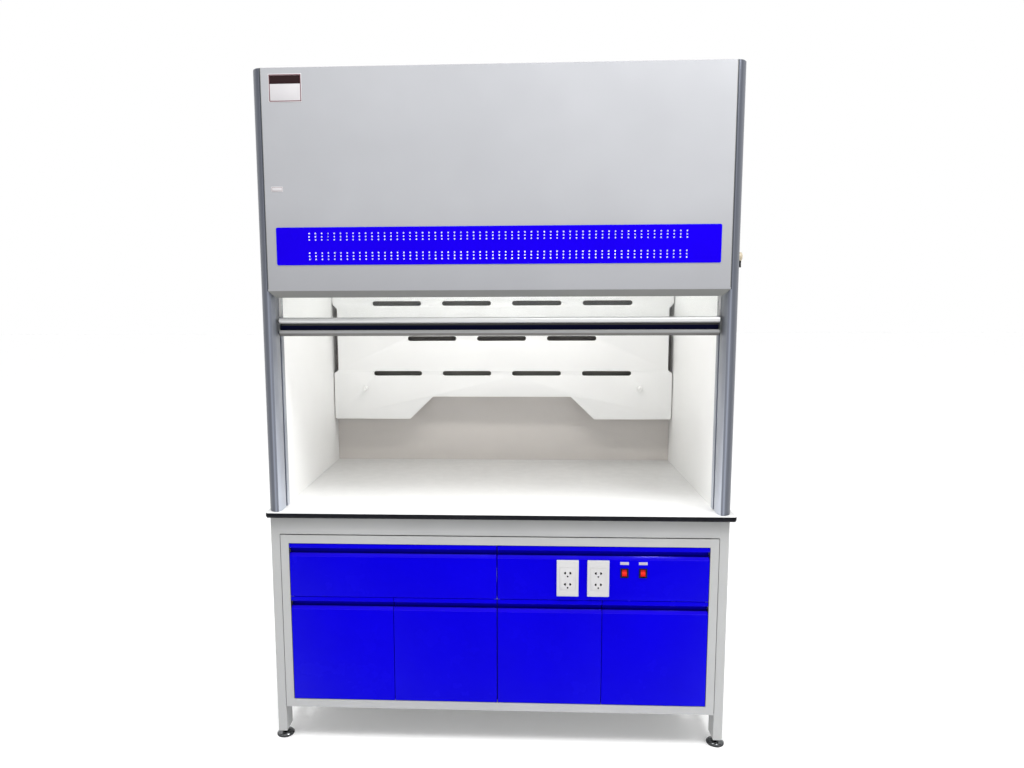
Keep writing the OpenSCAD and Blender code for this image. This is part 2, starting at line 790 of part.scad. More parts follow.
// Folded front sheet: face, top and side folds, and a bevelled lip along the bottom whose
// corners are cut back
module fascia_panel() {
    z1 = hood_h - 4;
    y = fascia_y;
    cut = 30;
    rise = 21.5;
    color(steel_grey) from_front() difference() {
        union() {
            slab(-fascia_half_w, fascia_half_w, y, y + shell_t, fascia_z0, z1);
            slab(-post_inner_x + 4, post_inner_x - 4, y, 44, z1 - shell_t, z1);
            both_sides()
                slab(fascia_half_w - shell_t, fascia_half_w, y, y + 6, fascia_z0, z1);
            along_x(-fascia_half_w, fascia_half_w)
                polygon([[y, fascia_z0], [y + fascia_lip, fascia_z0 - rise],
                         [y + fascia_lip, fascia_z0 - rise + 2], [y + shell_t, fascia_z0 + 0.7]]);
        }
        both_sides() translate([0, 0, fascia_z0 - rise - 1]) linear_extrude(rise + 1)
            polygon([[fascia_half_w, y - 1], [fascia_half_w + 5, y - 1], [fascia_half_w + 5, y + cut],
                     [fascia_half_w - cut, y + cut], [fascia_half_w, y]]);
        for (z = hole_groups)
            slab(-600, 600, y - 1, y + 3, z - 17, z + 17);
    }
}

// Blue band with two groups of three rows of round holes
module bypass_grille() {
    r = 5;
    span = (hole_columns - 1) * hole_pitch;
    color(front_blue) from_front() along_y(fascia_y - 1.2, fascia_y) difference() {
        union() {
            translate([-band_half_w, band_z0 + r]) square([2 * band_half_w, band_z1 - band_z0 - 2 * r]);
            translate([-band_half_w + r, band_z0]) square([2 * band_half_w - 2 * r, band_z1 - band_z0]);
            for (sx = [-1, 1], z = [band_z0 + r, band_z1 - r])
                translate([sx * (band_half_w - r), z]) circle(r = r);
        }
        for (zg = hole_groups, dz = hole_rows, i = [0:hole_columns - 1])
            translate([i * hole_pitch - span / 2, zg + dz]) circle(r = hole_r, $fn = 16);
    }
}

// ---------- Sash ----------

module sash_glass() {
    color([0.8, 0.95, 0.95, 0.35]) from_front()
        slab(-glass_half_w, glass_half_w, sash_y - glass_t / 2, sash_y + glass_t / 2, glass_z0, glass_z1);
}

// Handle section in (y, z) from its lower rear corner: round upper lip, finger groove and
// a lower lip with a bevelled underside. The glass stands in a slot in its top.
handle_y0 = 38;
handle_y1 = 88;
handle_wall = 3;
handle_cap = 2;
groove_z = 22;
groove_back_y = 62;
glass_slot = glass_t / 2 + 0.1;
handle_outline = concat(
    [[handle_y1, 0], [handle_y1, handle_h]],
    arc(handle_y0 + 9, handle_h - 9, 9, 9, 90, 230, 10),
    [[handle_y0 + 10, handle_h - 18], [groove_back_y, handle_h - 18], [groove_back_y, groove_z],
     [handle_y0 + 6, groove_z], [handle_y0 + 2, 19], [handle_y0 + 2, 12], [handle_y0 + 12, 0]]
);

// The handle section cut to a length, with the slot for the glass
module handle_piece(x0, x1) {
    difference() {
        translate([0, 0, handle_z0]) along_x(x0, x1) polygon(handle_outline);
        slab(x0 - 1, x1 + 1, sash_y - glass_slot, sash_y + glass_slot,
             glass_z0, handle_z0 + handle_h + 1);
    }
}

// Hollow section with one chamber above the finger groove and one below it
module sash_handle() {
    w = handle_wall;
    x = handle_half_w - handle_cap;
    color([0.82, 0.83, 0.86]) from_front() difference() {
        handle_piece(-x, x);
        slab(-x - 1, x + 1, handle_y0 + 9, sash_y - glass_slot - w,
             handle_z0 + handle_h - 18 + w, handle_z0 + handle_h - w);
        slab(-x - 1, x + 1, handle_y0 + 14, handle_y1 - w, handle_z0 + w, handle_z0 + groove_z - w);
    }
}

// Plastic edge channels of the glass, each with a block that takes the cable, and the end
// caps of the handle
module sash_guides() {
    z0 = handle_z0 + handle_h + 2;
    color([0.12, 0.12, 0.13]) from_front() both_sides() {
        handle_piece(handle_half_w - handle_cap, handle_half_w);
        difference() {
            union() {
                slab(706, 724.5, sash_y - 5.5, sash_y + 5.5, z0, glass_z1);
                slab(724, cable_x + 4, sash_y - 5.5, sash_y + 5.5, z0 + 6, z0 + 26);
            }
            slab(705, glass_half_w + 0.1, sash_y - glass_slot, sash_y + glass_slot, z0 - 1, glass_z1 + 1);
        }
    }
}

// Front run of the two sash cables, from the guide blocks up to the pulleys
module sash_cables() {
    z0 = handle_z0 + handle_h + 28;
    color([0.6, 0.6, 0.62]) from_front() both_sides() rod_z(cable_x, sash_y, z0, shaft_z, cable_r);
}

// Half turn of each cable over its pulley
module cable_turns() {
    color([0.6, 0.6, 0.62]) from_front() both_sides()
        translate([cable_x, shaft_y, shaft_z]) rotate([90, 0, 90])
            rotate_extrude(angle = 180) translate([cable_turn_r, 0]) circle(r = cable_r, $fn = 24);
}

// ---------- Counterbalance ----------

module cross_shaft() {
    color([0.7, 0.7, 0.72]) from_front() rod_x(-743, 743, shaft_y, shaft_z, shaft_r);
}

// Grooved wheels fixed to the ends of the cross shaft
module pulleys() {
    bottom = cable_turn_r - cable_r - 0.3;
    wheel = [
        [shaft_r, -pulley_w / 2], [pulley_r, -pulley_w / 2], [pulley_r, -3.5], [bottom, -2],
        [bottom, 2], [pulley_r, 3.5], [pulley_r, pulley_w / 2], [shaft_r, pulley_w / 2]
    ];
    color([0.15, 0.15, 0.16]) from_front() both_sides()
        translate([cable_x, shaft_y, shaft_z]) rotate([0, 90, 0]) rotate_extrude($fn = 72) polygon(wheel);
}

// Two bearing blocks on the chamber ceiling
module shaft_bearings() {
    z0 = ceiling_z + lining_t;
    color([0.3, 0.31, 0.33]) from_front() both_sides() difference() {
        slab(684, 702, shaft_y - 20, shaft_y + 20, z0, shaft_z + 18);
        rod_x(683, 703, shaft_y, shaft_z, shaft_r + running_gap);
    }
}

module counterweight() {
    slab(cable_x - weight_t / 2, cable_x + weight_t / 2, weight_y - weight_d / 2,
         weight_y + weight_d / 2, weight_z0, weight_z0 + weight_l);
    rod_z(cable_x, weight_y, weight_z0 + weight_l - eps, weight_z0 + weight_l + 14, 4);
}

module right_counterweight() { color([0.35, 0.35, 0.37]) from_front() counterweight(); }
module left_counterweight() {
    color([0.35, 0.35, 0.37]) from_front() mirror([1, 0, 0]) counterweight();
}

module weight_cable() {
    rod_z(cable_x, weight_y, weight_z0 + weight_l + 14, shaft_z, cable_r);
}

module right_weight_cable() { color([0.6, 0.6, 0.62]) from_front() weight_cable(); }
module left_weight_cable() {
    color([0.6, 0.6, 0.62]) from_front() mirror([1, 0, 0]) weight_cable();
}

// ---------- Side fittings ----------

// Round supply outlet on the right side panel, with the cable entry pointing down
module supply_outlet() {
    cap = concat([[0, 0], [16, 0], [16, 27]], arc(10, 27, 6, 6, 0, 90, 6), [[0, 33]]);
    color([0.9, 0.87, 0.78]) from_front() difference() {
        union() {
            translate([side_x, outlet_y, outlet_z]) rotate([0, 90, 0]) rotate_extrude() polygon(cap);
            rod_z(side_x + 24, outlet_y, outlet_z - 34, outlet_z, 8);
        }
        rod_z(side_x + 24, outlet_y, outlet_z - 35, outlet_z - 8, 4.5);
    }
}

// Screws along the edges of the two side panels: shank in the panel and flat round head
module side_panel_screws() {
    color([0.7, 0.7, 0.72]) from_front() both_sides() for (y = screw_ys, z = screw_zs) {
        rod_x(side_x - shell_t - 2, side_x + 1, y, z, screw_r);
        rod_x(side_x, side_x + 1.5, y, z, 2 * screw_r);
    }
}

leg_frames();
cross_rails();
foot_pads();
foot_stems();
cabinet_sides();
cabinet_top();
cabinet_bottom();
cabinet_back();
cabinet_divider();
cabinet_midrail();
cupboard_shelves();
door_pivot_pins();
left_outer_door();
left_inner_door();
right_inner_door();
right_outer_door();
drawer_front();
drawer_box();
drawer_fixed_runners();
drawer_moving_runners();
service_panel();
service_back_box();
socket_plates();
socket_modules();
rocker_bezels();
lamp_rocker();
fan_rocker();
blank_labels();
worktop();
posts();
side_panels();
side_linings();
rear_lining();
rear_panel();
baffle();
upper_baffle();
baffle_knobs();
baffle_spacers();
ceiling_lining();
roof_panel();
exhaust_collar();
fascia_panel();
bypass_grille();
lamp_housing();
lamp_tubes();
lamp_cover();
sash_glass();
sash_handle();
sash_guides();
sash_cables();
cable_turns();
cross_shaft();
pulleys();
shaft_bearings();
left_counterweight();
right_counterweight();
left_weight_cable();
right_weight_cable();
supply_outlet();
side_panel_screws();
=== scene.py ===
import json
import math

import bmesh
import bpy
from mathutils import Matrix, Vector


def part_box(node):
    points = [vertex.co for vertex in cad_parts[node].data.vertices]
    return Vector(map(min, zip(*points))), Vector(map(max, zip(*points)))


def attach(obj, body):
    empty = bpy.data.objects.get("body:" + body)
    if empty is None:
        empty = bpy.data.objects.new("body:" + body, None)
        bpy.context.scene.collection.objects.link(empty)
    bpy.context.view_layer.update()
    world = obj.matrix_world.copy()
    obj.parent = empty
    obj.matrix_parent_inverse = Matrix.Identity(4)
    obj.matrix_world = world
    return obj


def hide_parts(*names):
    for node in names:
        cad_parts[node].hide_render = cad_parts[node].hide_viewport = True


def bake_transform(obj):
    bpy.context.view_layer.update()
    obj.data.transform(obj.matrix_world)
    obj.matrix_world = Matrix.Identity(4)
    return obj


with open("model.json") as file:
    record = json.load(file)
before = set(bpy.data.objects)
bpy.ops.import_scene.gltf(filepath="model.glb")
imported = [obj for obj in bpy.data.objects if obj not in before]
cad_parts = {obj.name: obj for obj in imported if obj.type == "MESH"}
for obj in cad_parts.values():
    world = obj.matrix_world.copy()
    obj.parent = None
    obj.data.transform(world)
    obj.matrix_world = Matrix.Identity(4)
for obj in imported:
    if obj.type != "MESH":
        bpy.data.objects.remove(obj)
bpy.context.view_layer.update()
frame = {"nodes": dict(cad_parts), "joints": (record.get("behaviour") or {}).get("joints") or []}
NODES = frame["nodes"]
MM = 0.001
HOOD = "hood"
# Tubes of the table frame, folded sheet, socket plates, switch bezels and posts, in millimetres
LEG_WIDE, LEG_DEEP = 30, 60
SHEET = 1.5
PLATE_WIDE, BEZEL_WIDE, POST_WIDE = 71.5, 26.8, 48
# Half the width of the slot that holds the sash glass
GLASS_SLOT = 3.1


def extent(node):
    """The node's box in millimetres: x0, x1, y0, y1, z0, z1."""
    low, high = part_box(node)
    return [c / MM for pair in zip(low, high) for c in pair]


def ends(node, wide):
    """Middles of two equal parts that lie at the left and right end of a node's box."""
    x0, x1 = extent(node)[:2]
    return x0 + wide / 2, x1 - wide / 2


def placed(name, data):
    """A new object in the scene."""
    obj = bpy.data.objects.new(name, data)
    bpy.context.scene.collection.objects.link(obj)
    return obj


# ---------------- nodes

M = {}


class Nodes:
    """A node tree that grows one call at a time."""

    def __init__(self, tree):
        self.tree = tree

    def feed(self, socket, value):
        """Links what comes from another node, and sets a constant."""
        if isinstance(value, bpy.types.NodeSocket):
            self.tree.links.new(value, socket)
        else:
            socket.default_value = value

    def node(self, kind, inputs=None, **settings):
        n = self.tree.nodes.new(kind)
        for key, value in settings.items():
            setattr(n, key, value)
        for key, value in (inputs or {}).items():
            self.feed(n.inputs[key], value)
        return n

    def split(self, source):
        return self.node("ShaderNodeSeparateXYZ", {0: source}).outputs

    def maths(self, operation, a, b=0.0):
        return self.node("ShaderNodeMath", {0: a, 1: b}, operation=operation).outputs[0]

    def product(self, value, *factors):
        for factor in factors:
            value = self.maths("MULTIPLY", value, factor)
        return value

    def between(self, value, low, high):
        """1 where the value lies between the limits, 0 elsewhere."""
        return self.product(self.maths("GREATER_THAN", value, low), self.maths("LESS_THAN", value, high))

    def within(self, value, limit):
        """1 where the value is nearer to zero than the limit, 0 elsewhere."""
        return self.maths("LESS_THAN", self.maths("ABSOLUTE", value), limit)

    def remap(self, value, low, high, start=0.35, end=0.65, kind="LINEAR"):
        inputs = {"Value": value, "From Min": start, "From Max": end, "To Min": low, "To Max": high}
        return self.node("ShaderNodeMapRange", inputs, interpolation_type=kind).outputs["Result"]


class Look(Nodes):
    """A Principled material."""

    def __init__(self, name, colour, rough, metal=0.0, specular=0.5):
        material = bpy.data.materials.new(name)
        material.use_nodes = True
        super().__init__(material.node_tree)
        self.shader = self.tree.nodes["Principled BSDF"]
        self.colour((*colour, 1))
        self.rough(rough)
        self.set("Metallic", metal)
        self.set("Specular IOR Level", specular)
        self.place = self.node("ShaderNodeTexCoord").outputs["Object"]
        M[name] = material

    def set(self, socket, value):
        self.feed(self.shader.inputs[socket], value)

    def colour(self, value):
        self.set("Base Color", value)

    def rough(self, value):
        self.set("Roughness", value)

    def stretched(self, scale):
        return self.node("ShaderNodeMapping", {"Vector": self.place, "Scale": scale}).outputs["Vector"]

    def noise(self, scale, detail=3.0, rough=0.55, vector=None):
        inputs = {"Vector": vector or self.place, "Scale": scale, "Detail": detail, "Roughness": rough}
        return self.node("ShaderNodeTexNoise", inputs).outputs["Fac"]

    def ramp(self, value, stops):
        n = self.node("ShaderNodeValToRGB", {"Fac": value})
        while len(n.color_ramp.elements) < len(stops):
            n.color_ramp.elements.new(0.5)
        for element, (position, colour) in zip(n.color_ramp.elements, stops):
            element.position = position
            element.color = (*colour, 1)
        return n.outputs["Color"]

    def mix(self, factor, a, b, kind="MIX"):
        """A colour mix has its factor in socket 0 and its colours in sockets 6 and 7."""
        n = self.node("ShaderNodeMix", {0: factor, 6: a, 7: b}, data_type="RGBA", blend_type=kind)
        return n.outputs[2]

    def bump(self, height, strength, distance):
        n = self.node("ShaderNodeBump", {"Strength": strength, "Distance": distance, "Height": height})
        self.set("Normal", n.outputs["Normal"])


# ---------------- camera and light

# Eye point, heading, downward tilt and roll in degrees, lens and sensor width in millimetres
EYE = (0.06547, -2.66287, 1.48731)
HEADING, DOWN, ROLL = -2.531, 6.637, -0.235
LENS, SENSOR = 25.086, 36
SHIFT_X, SHIFT_Y = 0.0256, -0.0002


def make_camera():
    yaw, pitch, roll = (math.radians(a) for a in (HEADING, DOWN, ROLL))
    forward = Vector((math.sin(yaw) * math.cos(pitch), math.cos(yaw) * math.cos(pitch), -math.sin(pitch)))
    level = Vector((math.cos(yaw), -math.sin(yaw), 0))
    up = level.cross(forward)
    right = math.cos(roll) * level + math.sin(roll) * up
    up = -math.sin(roll) * level + math.cos(roll) * up
    data = bpy.data.cameras.new("camera")
    data.sensor_width = SENSOR
    data.lens = LENS
    data.shift_x = SHIFT_X
    data.shift_y = SHIFT_Y
    data.clip_end = 200
    camera = placed("camera", data)
    turn = Matrix((right, up, -forward)).transposed()
    camera.matrix_world = Matrix.Translation(EYE) @ turn.to_4x4()
    bpy.context.scene.camera = camera


def make_sky():
    """White behind the hood and along the horizon, dimmer high up in front of it, brighter overhead."""
    world = bpy.data.worlds.new("studio")
    world.use_nodes = True
    sky = Nodes(world.node_tree)
    background = sky.tree.nodes["Background"].inputs
    background["Color"].default_value = (1, 1, 1, 1)
    _, y, z = sky.split(sky.node("ShaderNodeTexCoord").outputs["Generated"])
    in_front = sky.remap(y, 0.68, 0.0, -0.25, 0.1, "SMOOTHSTEP")
    high_up = sky.remap(z, 0.0, 1.0, 0.1, 0.35, "SMOOTHSTEP")
    overhead = sky.remap(z, 0.0, 0.6, 0.65, 0.95, "SMOOTHSTEP")
    dimmed = sky.maths("SUBTRACT", 1.0, sky.product(in_front, high_up))
    sky.feed(background["Strength"], sky.maths("ADD", dimmed, overhead))
    bpy.context.scene.world = world
    bpy.context.scene.view_settings.view_transform = "Standard"


def area_light(name, place, target, size, power, colour=(1, 1, 1)):
    data = bpy.data.lights.new(name, "AREA")
    data.shape = "RECTANGLE"
    data.size, data.size_y = size
    data.energy = power
    data.color = colour
    light = placed(name, data)
    light.location = place
    light.rotation_euler = (Vector(target) - Vector(place)).to_track_quat("-Z", "Y").to_euler()
    return data


def make_lights():
    area_light("key", (1.5, -1.5, 3.3), (0.1, -0.4, 1.9), (0.9, 0.9), 43)
    area_light("ceiling", (-0.5, -1.25, 4.1), (-0.1, -0.4, 0.9), (2.4, 0.7), 85)
    area_light("fill", (2.2, -2.6, 0.6), (0.75, -0.4, 0.4), (0.8, 0.6), 2.5)
    # The hood's own lamp shines just below its cover
    low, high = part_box("lamp_cover")
    x, y, z = (low[0] + high[0]) / 2, (low[1] + high[1]) / 2, low[2] - 0.004
    lamp = area_light("chamber_lamp", (x, y, z), (x, y, 0), (1.15, 0.10), 7.2, (1.0, 0.975, 0.94))
    lamp.spread = math.radians(170)


# ---------------- kinds of surface


def shade(colour, factor):
    return tuple(min(1.0, c * factor) for c in colour)


def mottled(look, value, colour, spread):
    """Colour that wanders round its middle tone with a noise value."""
    look.colour(look.ramp(value, [(0.3, shade(colour, 1 - spread)), (0.7, shade(colour, 1 + spread))]))


def painted(name, colour, rough, grain, depth, spread=0.05, specular=0.5):
    """Sprayed coat: slow tone changes, a finely dimpled surface and uneven gloss."""
    k = Look(name, colour, rough, 0.0, specular)
    mottled(k, k.noise(3.5, 2.0), colour, spread)
    k.rough(k.remap(k.noise(11.0, 4.0), rough - 0.05, rough + 0.07))
    k.bump(k.noise(grain, 2.0), 0.35, depth)
    return k


def frame_paint(name):
    return painted(name, (0.43, 0.435, 0.43), 0.42, 900, 0.00012)


# How noise is squeezed across the grain of a metal that runs along x or along z
ALONG_X, ALONG_Z = (1.2, 260, 260), (260, 260, 1.2)


def extruded(name, colour, rough, metal, stretch, spread=0.08, specular=0.5):
    """Extruded or ground metal with fine lines along one axis."""
    k = Look(name, colour, rough, metal, specular)
    lines = k.noise(1.0, 3.0, 0.6, k.stretched(stretch))
    mottled(k, lines, colour, spread)
    k.rough(k.remap(lines, rough - 0.06, rough + 0.08))
    k.bump(lines, 0.25, 0.00006)
    return k


def moulded(name, colour, rough, specular=0.5):
    """Plastic or rubber with a very fine grain."""
    k = Look(name, colour, rough, 0.0, specular)
    mottled(k, k.noise(9.0, 2.0), colour, 0.03)
    k.rough(k.remap(k.noise(70.0), rough - 0.04, rough + 0.06))
    k.bump(k.noise(2600.0, 1.0), 0.2, 0.00004)
    return k


def paint_light_shade(look, value, stops):
    """Paints light and shade: multiplies the colour of a look by a factor that follows a value from 0 to 1.
    """
    veil = look.ramp(value, [(at, (factor,) * 3) for at, factor in stops])
    paint = look.shader.inputs["Base Color"].links[0].from_socket
    look.colour(look.mix(1.0, paint, veil, "MULTIPLY"))


def paint_light_shade_by_height(look, low, high, at_low, at_high):
    """Paints light and shade: multiplies the colour of a look by a factor that changes with height."""
    height = look.split(look.place)[2]
    paint_light_shade(look, look.remap(height, 0.0, 1.0, low, high), [(0.0, at_low), (1.0, at_high)])


def glowing(look, colour, strength):
    look.set("Emission Color", (*colour, 1))
    look.set("Emission Strength", strength)


# ---------------- materials


def make_frame_looks():
    frame_paint("frame_steel")
    tube, leg, reveal = (frame_paint(name) for name in ("tube_steel", "leg_steel", "reveal_steel"))
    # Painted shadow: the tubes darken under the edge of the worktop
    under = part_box("worktop")[0][2]
    for look in (tube, leg):
        paint_light_shade_by_height(look, under - 0.045, under - 0.004, 1.0, 0.70)

    # The gap between leg and cabinet is in shade
    front, _, bottom, top = (c * MM for c in extent("cabinet_sides")[2:])
    x, y, z = leg.split(leg.place)
    inside = leg.within(x, (extent("leg_frames")[1] - LEG_WIDE + 0.2) * MM)
    near = leg.maths("LESS_THAN", y, front + 60 * MM)
    paint_light_shade(leg, leg.product(inside, leg.between(z, bottom, top), near), [(0.0, 1.0), (1.0, 0.25)])

    # So is the reveal round the fronts
    gap = 2.2
    x, y, z = reveal.split(reveal.place)
    bay = reveal.within(x, (extent("right_outer_door")[1] + gap) * MM)
    below = reveal.maths("LESS_THAN", z, (extent("drawer_front")[5] + gap) * MM)
    behind = reveal.between(y, front + 0.6 * MM, front + 15 * MM)
    paint_light_shade(reveal, reveal.product(bay, below, behind), [(0.0, 1.0), (1.0, 0.12)])
    painted("gap_shade", (0.03, 0.03, 0.04), 0.6, 900, 0.00006, specular=0.1)
    painted("weight_steel", (0.13, 0.13, 0.14), 0.5, 500, 0.0002)


def make_fascia_looks():
    fascia = painted("fascia_steel", (0.335, 0.34, 0.358), 0.5, 650, 0.00016, 0.03)
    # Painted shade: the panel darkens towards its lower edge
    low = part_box("fascia_panel")[0][2]
    paint_light_shade_by_height(fascia, low, low + 0.3, 0.84, 1.0)
    # Painted shade: darker copies of the paint for the lip's underside and the side edges, near black for
    # the lip's slanted ends
    for name, colour in (("fascia_shade", (0.17, 0.173, 0.165)), ("fascia_cut_shade", (0.035, 0.035, 0.036))):
        painted(name, colour, 0.55, 650, 0.00016, 0.03)


def make_blue_looks():
    for name, colour in (("blue_steel", (0.0022, 0.0002, 0.60)), ("band_steel", (0.0075, 0.0001, 0.60))):
        blue = painted(name, colour, 0.22, 260, 0.00006, specular=0.32)
        blue.set("Specular Tint", (0.02, 0.0, 1.0, 1))
    # Painted shade: a darker blue for the recess of the finger pull
    painted("blue_recess_shade", (0.002, 0.0002, 0.34), 0.5, 260, 0.00006, specular=0.0)
    # A glossier blue for the lip, a little lighter as painted highlight
    lip = painted("blue_lip_highlight", (0.006, 0.0002, 0.62), 0.16, 260, 0.00003, specular=0.4)
    lip.set("Specular Tint", (0.35, 0.3, 1.0, 1))


def make_lining_looks():
    painted("liner_white", (0.865, 0.868, 0.86), 0.48, 1400, 0.00004, 0.015, 0.35)
    # Painted shade: the rear lining is a darker copy of the white lining
    lining = painted("rear_white_shaded", (0.66, 0.628, 0.60), 0.5, 1400, 0.00004, 0.02, 0.3)
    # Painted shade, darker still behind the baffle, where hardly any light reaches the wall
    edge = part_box("baffle")[0][2]
    paint_light_shade_by_height(lining, edge + 0.09, edge + 0.16, 1.0, 0.4)


def make_worktop_look():
    """White face above a black core that shows on every edge."""
    top = Look("worktop", (0.86, 0.86, 0.86), 0.36)
    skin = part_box("worktop")[1][2] - 0.0009
    face = top.maths("GREATER_THAN", top.split(top.place)[2], skin)
    core = top.ramp(top.noise(60.0), [(0.3, (0.006, 0.006, 0.008)), (0.7, (0.010, 0.011, 0.014))])
    white = top.ramp(top.noise(4.0), [(0.3, (0.655, 0.658, 0.655)), (0.7, (0.685, 0.688, 0.685))])
    top.colour(top.mix(face, core, white))
    top.rough(top.remap(top.noise(25.0), 0.30, 0.42))
    top.set("Specular IOR Level", top.maths("ADD", top.maths("MULTIPLY", face, 0.35), 0.06))
    top.bump(top.noise(1500.0), 0.2, 0.00004)


def make_post_looks():
    post = extruded("post_alloy", (0.258, 0.278, 0.335), 0.34, 0.7, ALONG_Z)
    # A painted highlight runs down the nose, with painted shade on the flanks to either side
    x, _, z = post.split(post.place)
    turn = post.split(post.node("ShaderNodeNewGeometry").outputs["Normal"])[0]
    outward = post.product(turn, post.maths("SIGN", x))
    paint_light_shade(post, post.remap(outward, 0.0, 1.0, -1.0, 1.0),
           [(0.1, 0.64), (0.34, 0.66), (0.47, 0.98), (0.55, 0.92), (0.64, 0.50), (1.0, 0.45)])
    # Painted shade along the joint to the front panel
    panel = extent("fascia_panel")
    near = post.within(x, (panel[1] + 6) * MM)
    beside = post.maths("GREATER_THAN", z, (panel[4] + 21) * MM)
    paint_light_shade(post, post.product(near, beside), [(0.0, 1.0), (1.0, 0.35)])
    # Painted light: a brighter copy of the alloy for the inner faces, brighter still towards the worktop,
    # where the chamber's light catches them more
    inner = extruded("post_inner_lit", (0.50, 0.53, 0.60), 0.36, 0.4, ALONG_Z, 0.04)
    paint_light_shade_by_height(inner, 0.85, 1.35, 1.0, 0.42)
    # Painted shade: a darker copy of the alloy for the outer faces
    extruded("post_outer_shaded", (0.115, 0.125, 0.15), 0.36, 0.5, ALONG_Z)


def make_metal_looks():
    extruded("handle_alloy", (0.61, 0.615, 0.61), 0.44, 0.70, ALONG_X)
    # Painted shade: darker copies of the alloy for the handle's lower lip and its underside, near black for
    # the upper part of the groove
    extruded("handle_shade", (0.27, 0.272, 0.272), 0.34, 0.4, ALONG_X)
    extruded("handle_under_shade", (0.135, 0.132, 0.125), 0.4, 0.3, ALONG_X)
    extruded("groove_shade", (0.035, 0.034, 0.030), 0.45, 0.1, ALONG_X, 0.1)
    extruded("groove_film", (0.0018, 0.003, 0.030), 0.45, 0.0, ALONG_X, 0.2, 0.05)
    extruded("cable_steel", (0.36, 0.36, 0.37), 0.38, 1.0, (900, 900, 160), 0.3)
    extruded("shaft_steel", (0.55, 0.55, 0.56), 0.28, 1.0, (3, 900, 900))

    plated = Look("plated_steel", (0.66, 0.66, 0.67), 0.16, 1.0)
    cloud = [(0.3, (0.115, 0.12, 0.125)), (0.7, (0.18, 0.185, 0.19))]
    plated.colour(plated.ramp(plated.noise(14.0), cloud))
    plated.rough(plated.remap(plated.noise(60.0), 0.10, 0.26))

    zinc = Look("galvanised", (0.60, 0.61, 0.62), 0.42, 0.85)
    spangle = zinc.node("ShaderNodeTexVoronoi", {"Vector": zinc.place, "Scale": 90})
    flake = zinc.split(spangle.outputs["Color"])[0]
    zinc.colour(zinc.ramp(flake, [(0.0, (0.52, 0.53, 0.55)), (1.0, (0.68, 0.69, 0.70))]))
    zinc.rough(zinc.remap(flake, 0.30, 0.52, 0.0, 1.0))
    zinc.bump(zinc.noise(300.0), 0.15, 0.00008)


def make_plastic_looks():
    moulded("white_plastic", (0.84, 0.84, 0.825), 0.30)
    moulded("socket_plastic", (0.56, 0.555, 0.555), 0.36)
    moulded("cream_plastic", (0.50, 0.43, 0.31), 0.42)
    moulded("black_plastic", (0.008, 0.008, 0.009), 0.5, 0.12)
    moulded("foot_rubber", (0.020, 0.021, 0.023), 0.55)
    moulded("label_white", (0.47, 0.43, 0.52), 0.36)
    moulded("sign_white", (0.50, 0.487, 0.50), 0.4)
    moulded("label_rim", (0.13, 0.045, 0.055), 0.4)
    moulded("label_header", (0.016, 0.005, 0.006), 0.5, 0.15)
    red = moulded("red_plastic", (0.60, 0.003, 0.004), 0.34, 0.16)
    # Painted highlight: the middle of each rocker glows orange-red
    z0, z1 = extent("lamp_rocker")[4:]
    off = red.maths("SUBTRACT", red.split(red.place)[2], (z0 + z1) / 2 * MM)
    glowing(red, (1.0, 0.10, 0.03), red.remap(red.maths("ABSOLUTE", off), 0.35, 0.0, 0.0005, 0.0065))


def make_lamp_look():
    lit = Look("lamp_light", (1, 1, 0.97), 0.4)
    lit.colour(lit.ramp(lit.noise(5.0), [(0.0, (0.96, 0.96, 0.93)), (1.0, (1.0, 1.0, 0.98))]))
    glowing(lit, (1.0, 0.99, 0.95), 2.5)


def clear_pane(name, tint, haze, gloss):
    """Clear sheet: what is behind it shows through, with a reflection that grows at a slant."""
    k = Look(name, tint, gloss)
    k.set("IOR", 1.5)
    smear = k.ramp(k.noise(6.0, 3.0), [(0.35, shade(tint, 0.97)), (0.7, tint)])
    k.colour(smear)
    clear = k.node("ShaderNodeBsdfTransparent", {"Color": smear})
    reflect = k.node("ShaderNodeFresnel", {"IOR": 1.45})
    amount = k.maths("ADD", reflect.outputs[0], haze)
    mixer = k.node("ShaderNodeMixShader", {0: amount, 1: clear.outputs[0], 2: k.shader.outputs[0]})
    k.feed(k.tree.nodes["Material Output"].inputs["Surface"], mixer.outputs[0])


def make_floor():
    glowing(painted("floor", (0.93, 0.93, 0.93), 0.9, 40, 0.0002, 0.004, 0.05), (1, 1, 1), 0.14)
    bpy.ops.mesh.primitive_grid_add(x_subdivisions=8, y_subdivisions=8, size=60, location=(0, 0, -0.0005))
    floor = bpy.context.object
    floor.name = "floor"
    floor.data.materials.append(M["floor"])


# ---------------- mesh helpers


def fillet(points, steps=5):
    """Outline with rounded corners: each point is (a, b) or (a, b, radius)."""
    out = []
    count = len(points)
    for i, p in enumerate(points):
        here = Vector(p[:2])
        radius = p[2] if len(p) > 2 else 0
        before = Vector(points[i - 1][:2]) - here
        after = Vector(points[(i + 1) % count][:2]) - here
        if radius <= 0 or before.length < 1e-9 or after.length < 1e-9:
            out.append(tuple(here))
            continue
        before.normalize()
        after.normalize()
        angle = before.angle(after)
        if angle > math.pi - 0.02:
            out.append(tuple(here))
            continue
        reach = radius / math.tan(angle / 2)
        centre = here + (before + after).normalized() * radius / math.sin(angle / 2)
        start = here + before * reach - centre
        end = here + after * reach - centre
        sweep = start.angle_signed(end)
        for k in range(steps + 1):
            turn = -sweep * k / steps
            c, s = math.cos(turn), math.sin(turn)
            out.append((centre.x + start.x * c - start.y * s, centre.y + start.x * s + start.y * c))
    return out


def arc(cx, cy, rx, ry, start, end, steps):
    angles = [math.radians(start + (end - start) * i / steps) for i in range(steps + 1)]
    return [(cx + rx * math.cos(a), cy + ry * math.sin(a)) for a in angles]


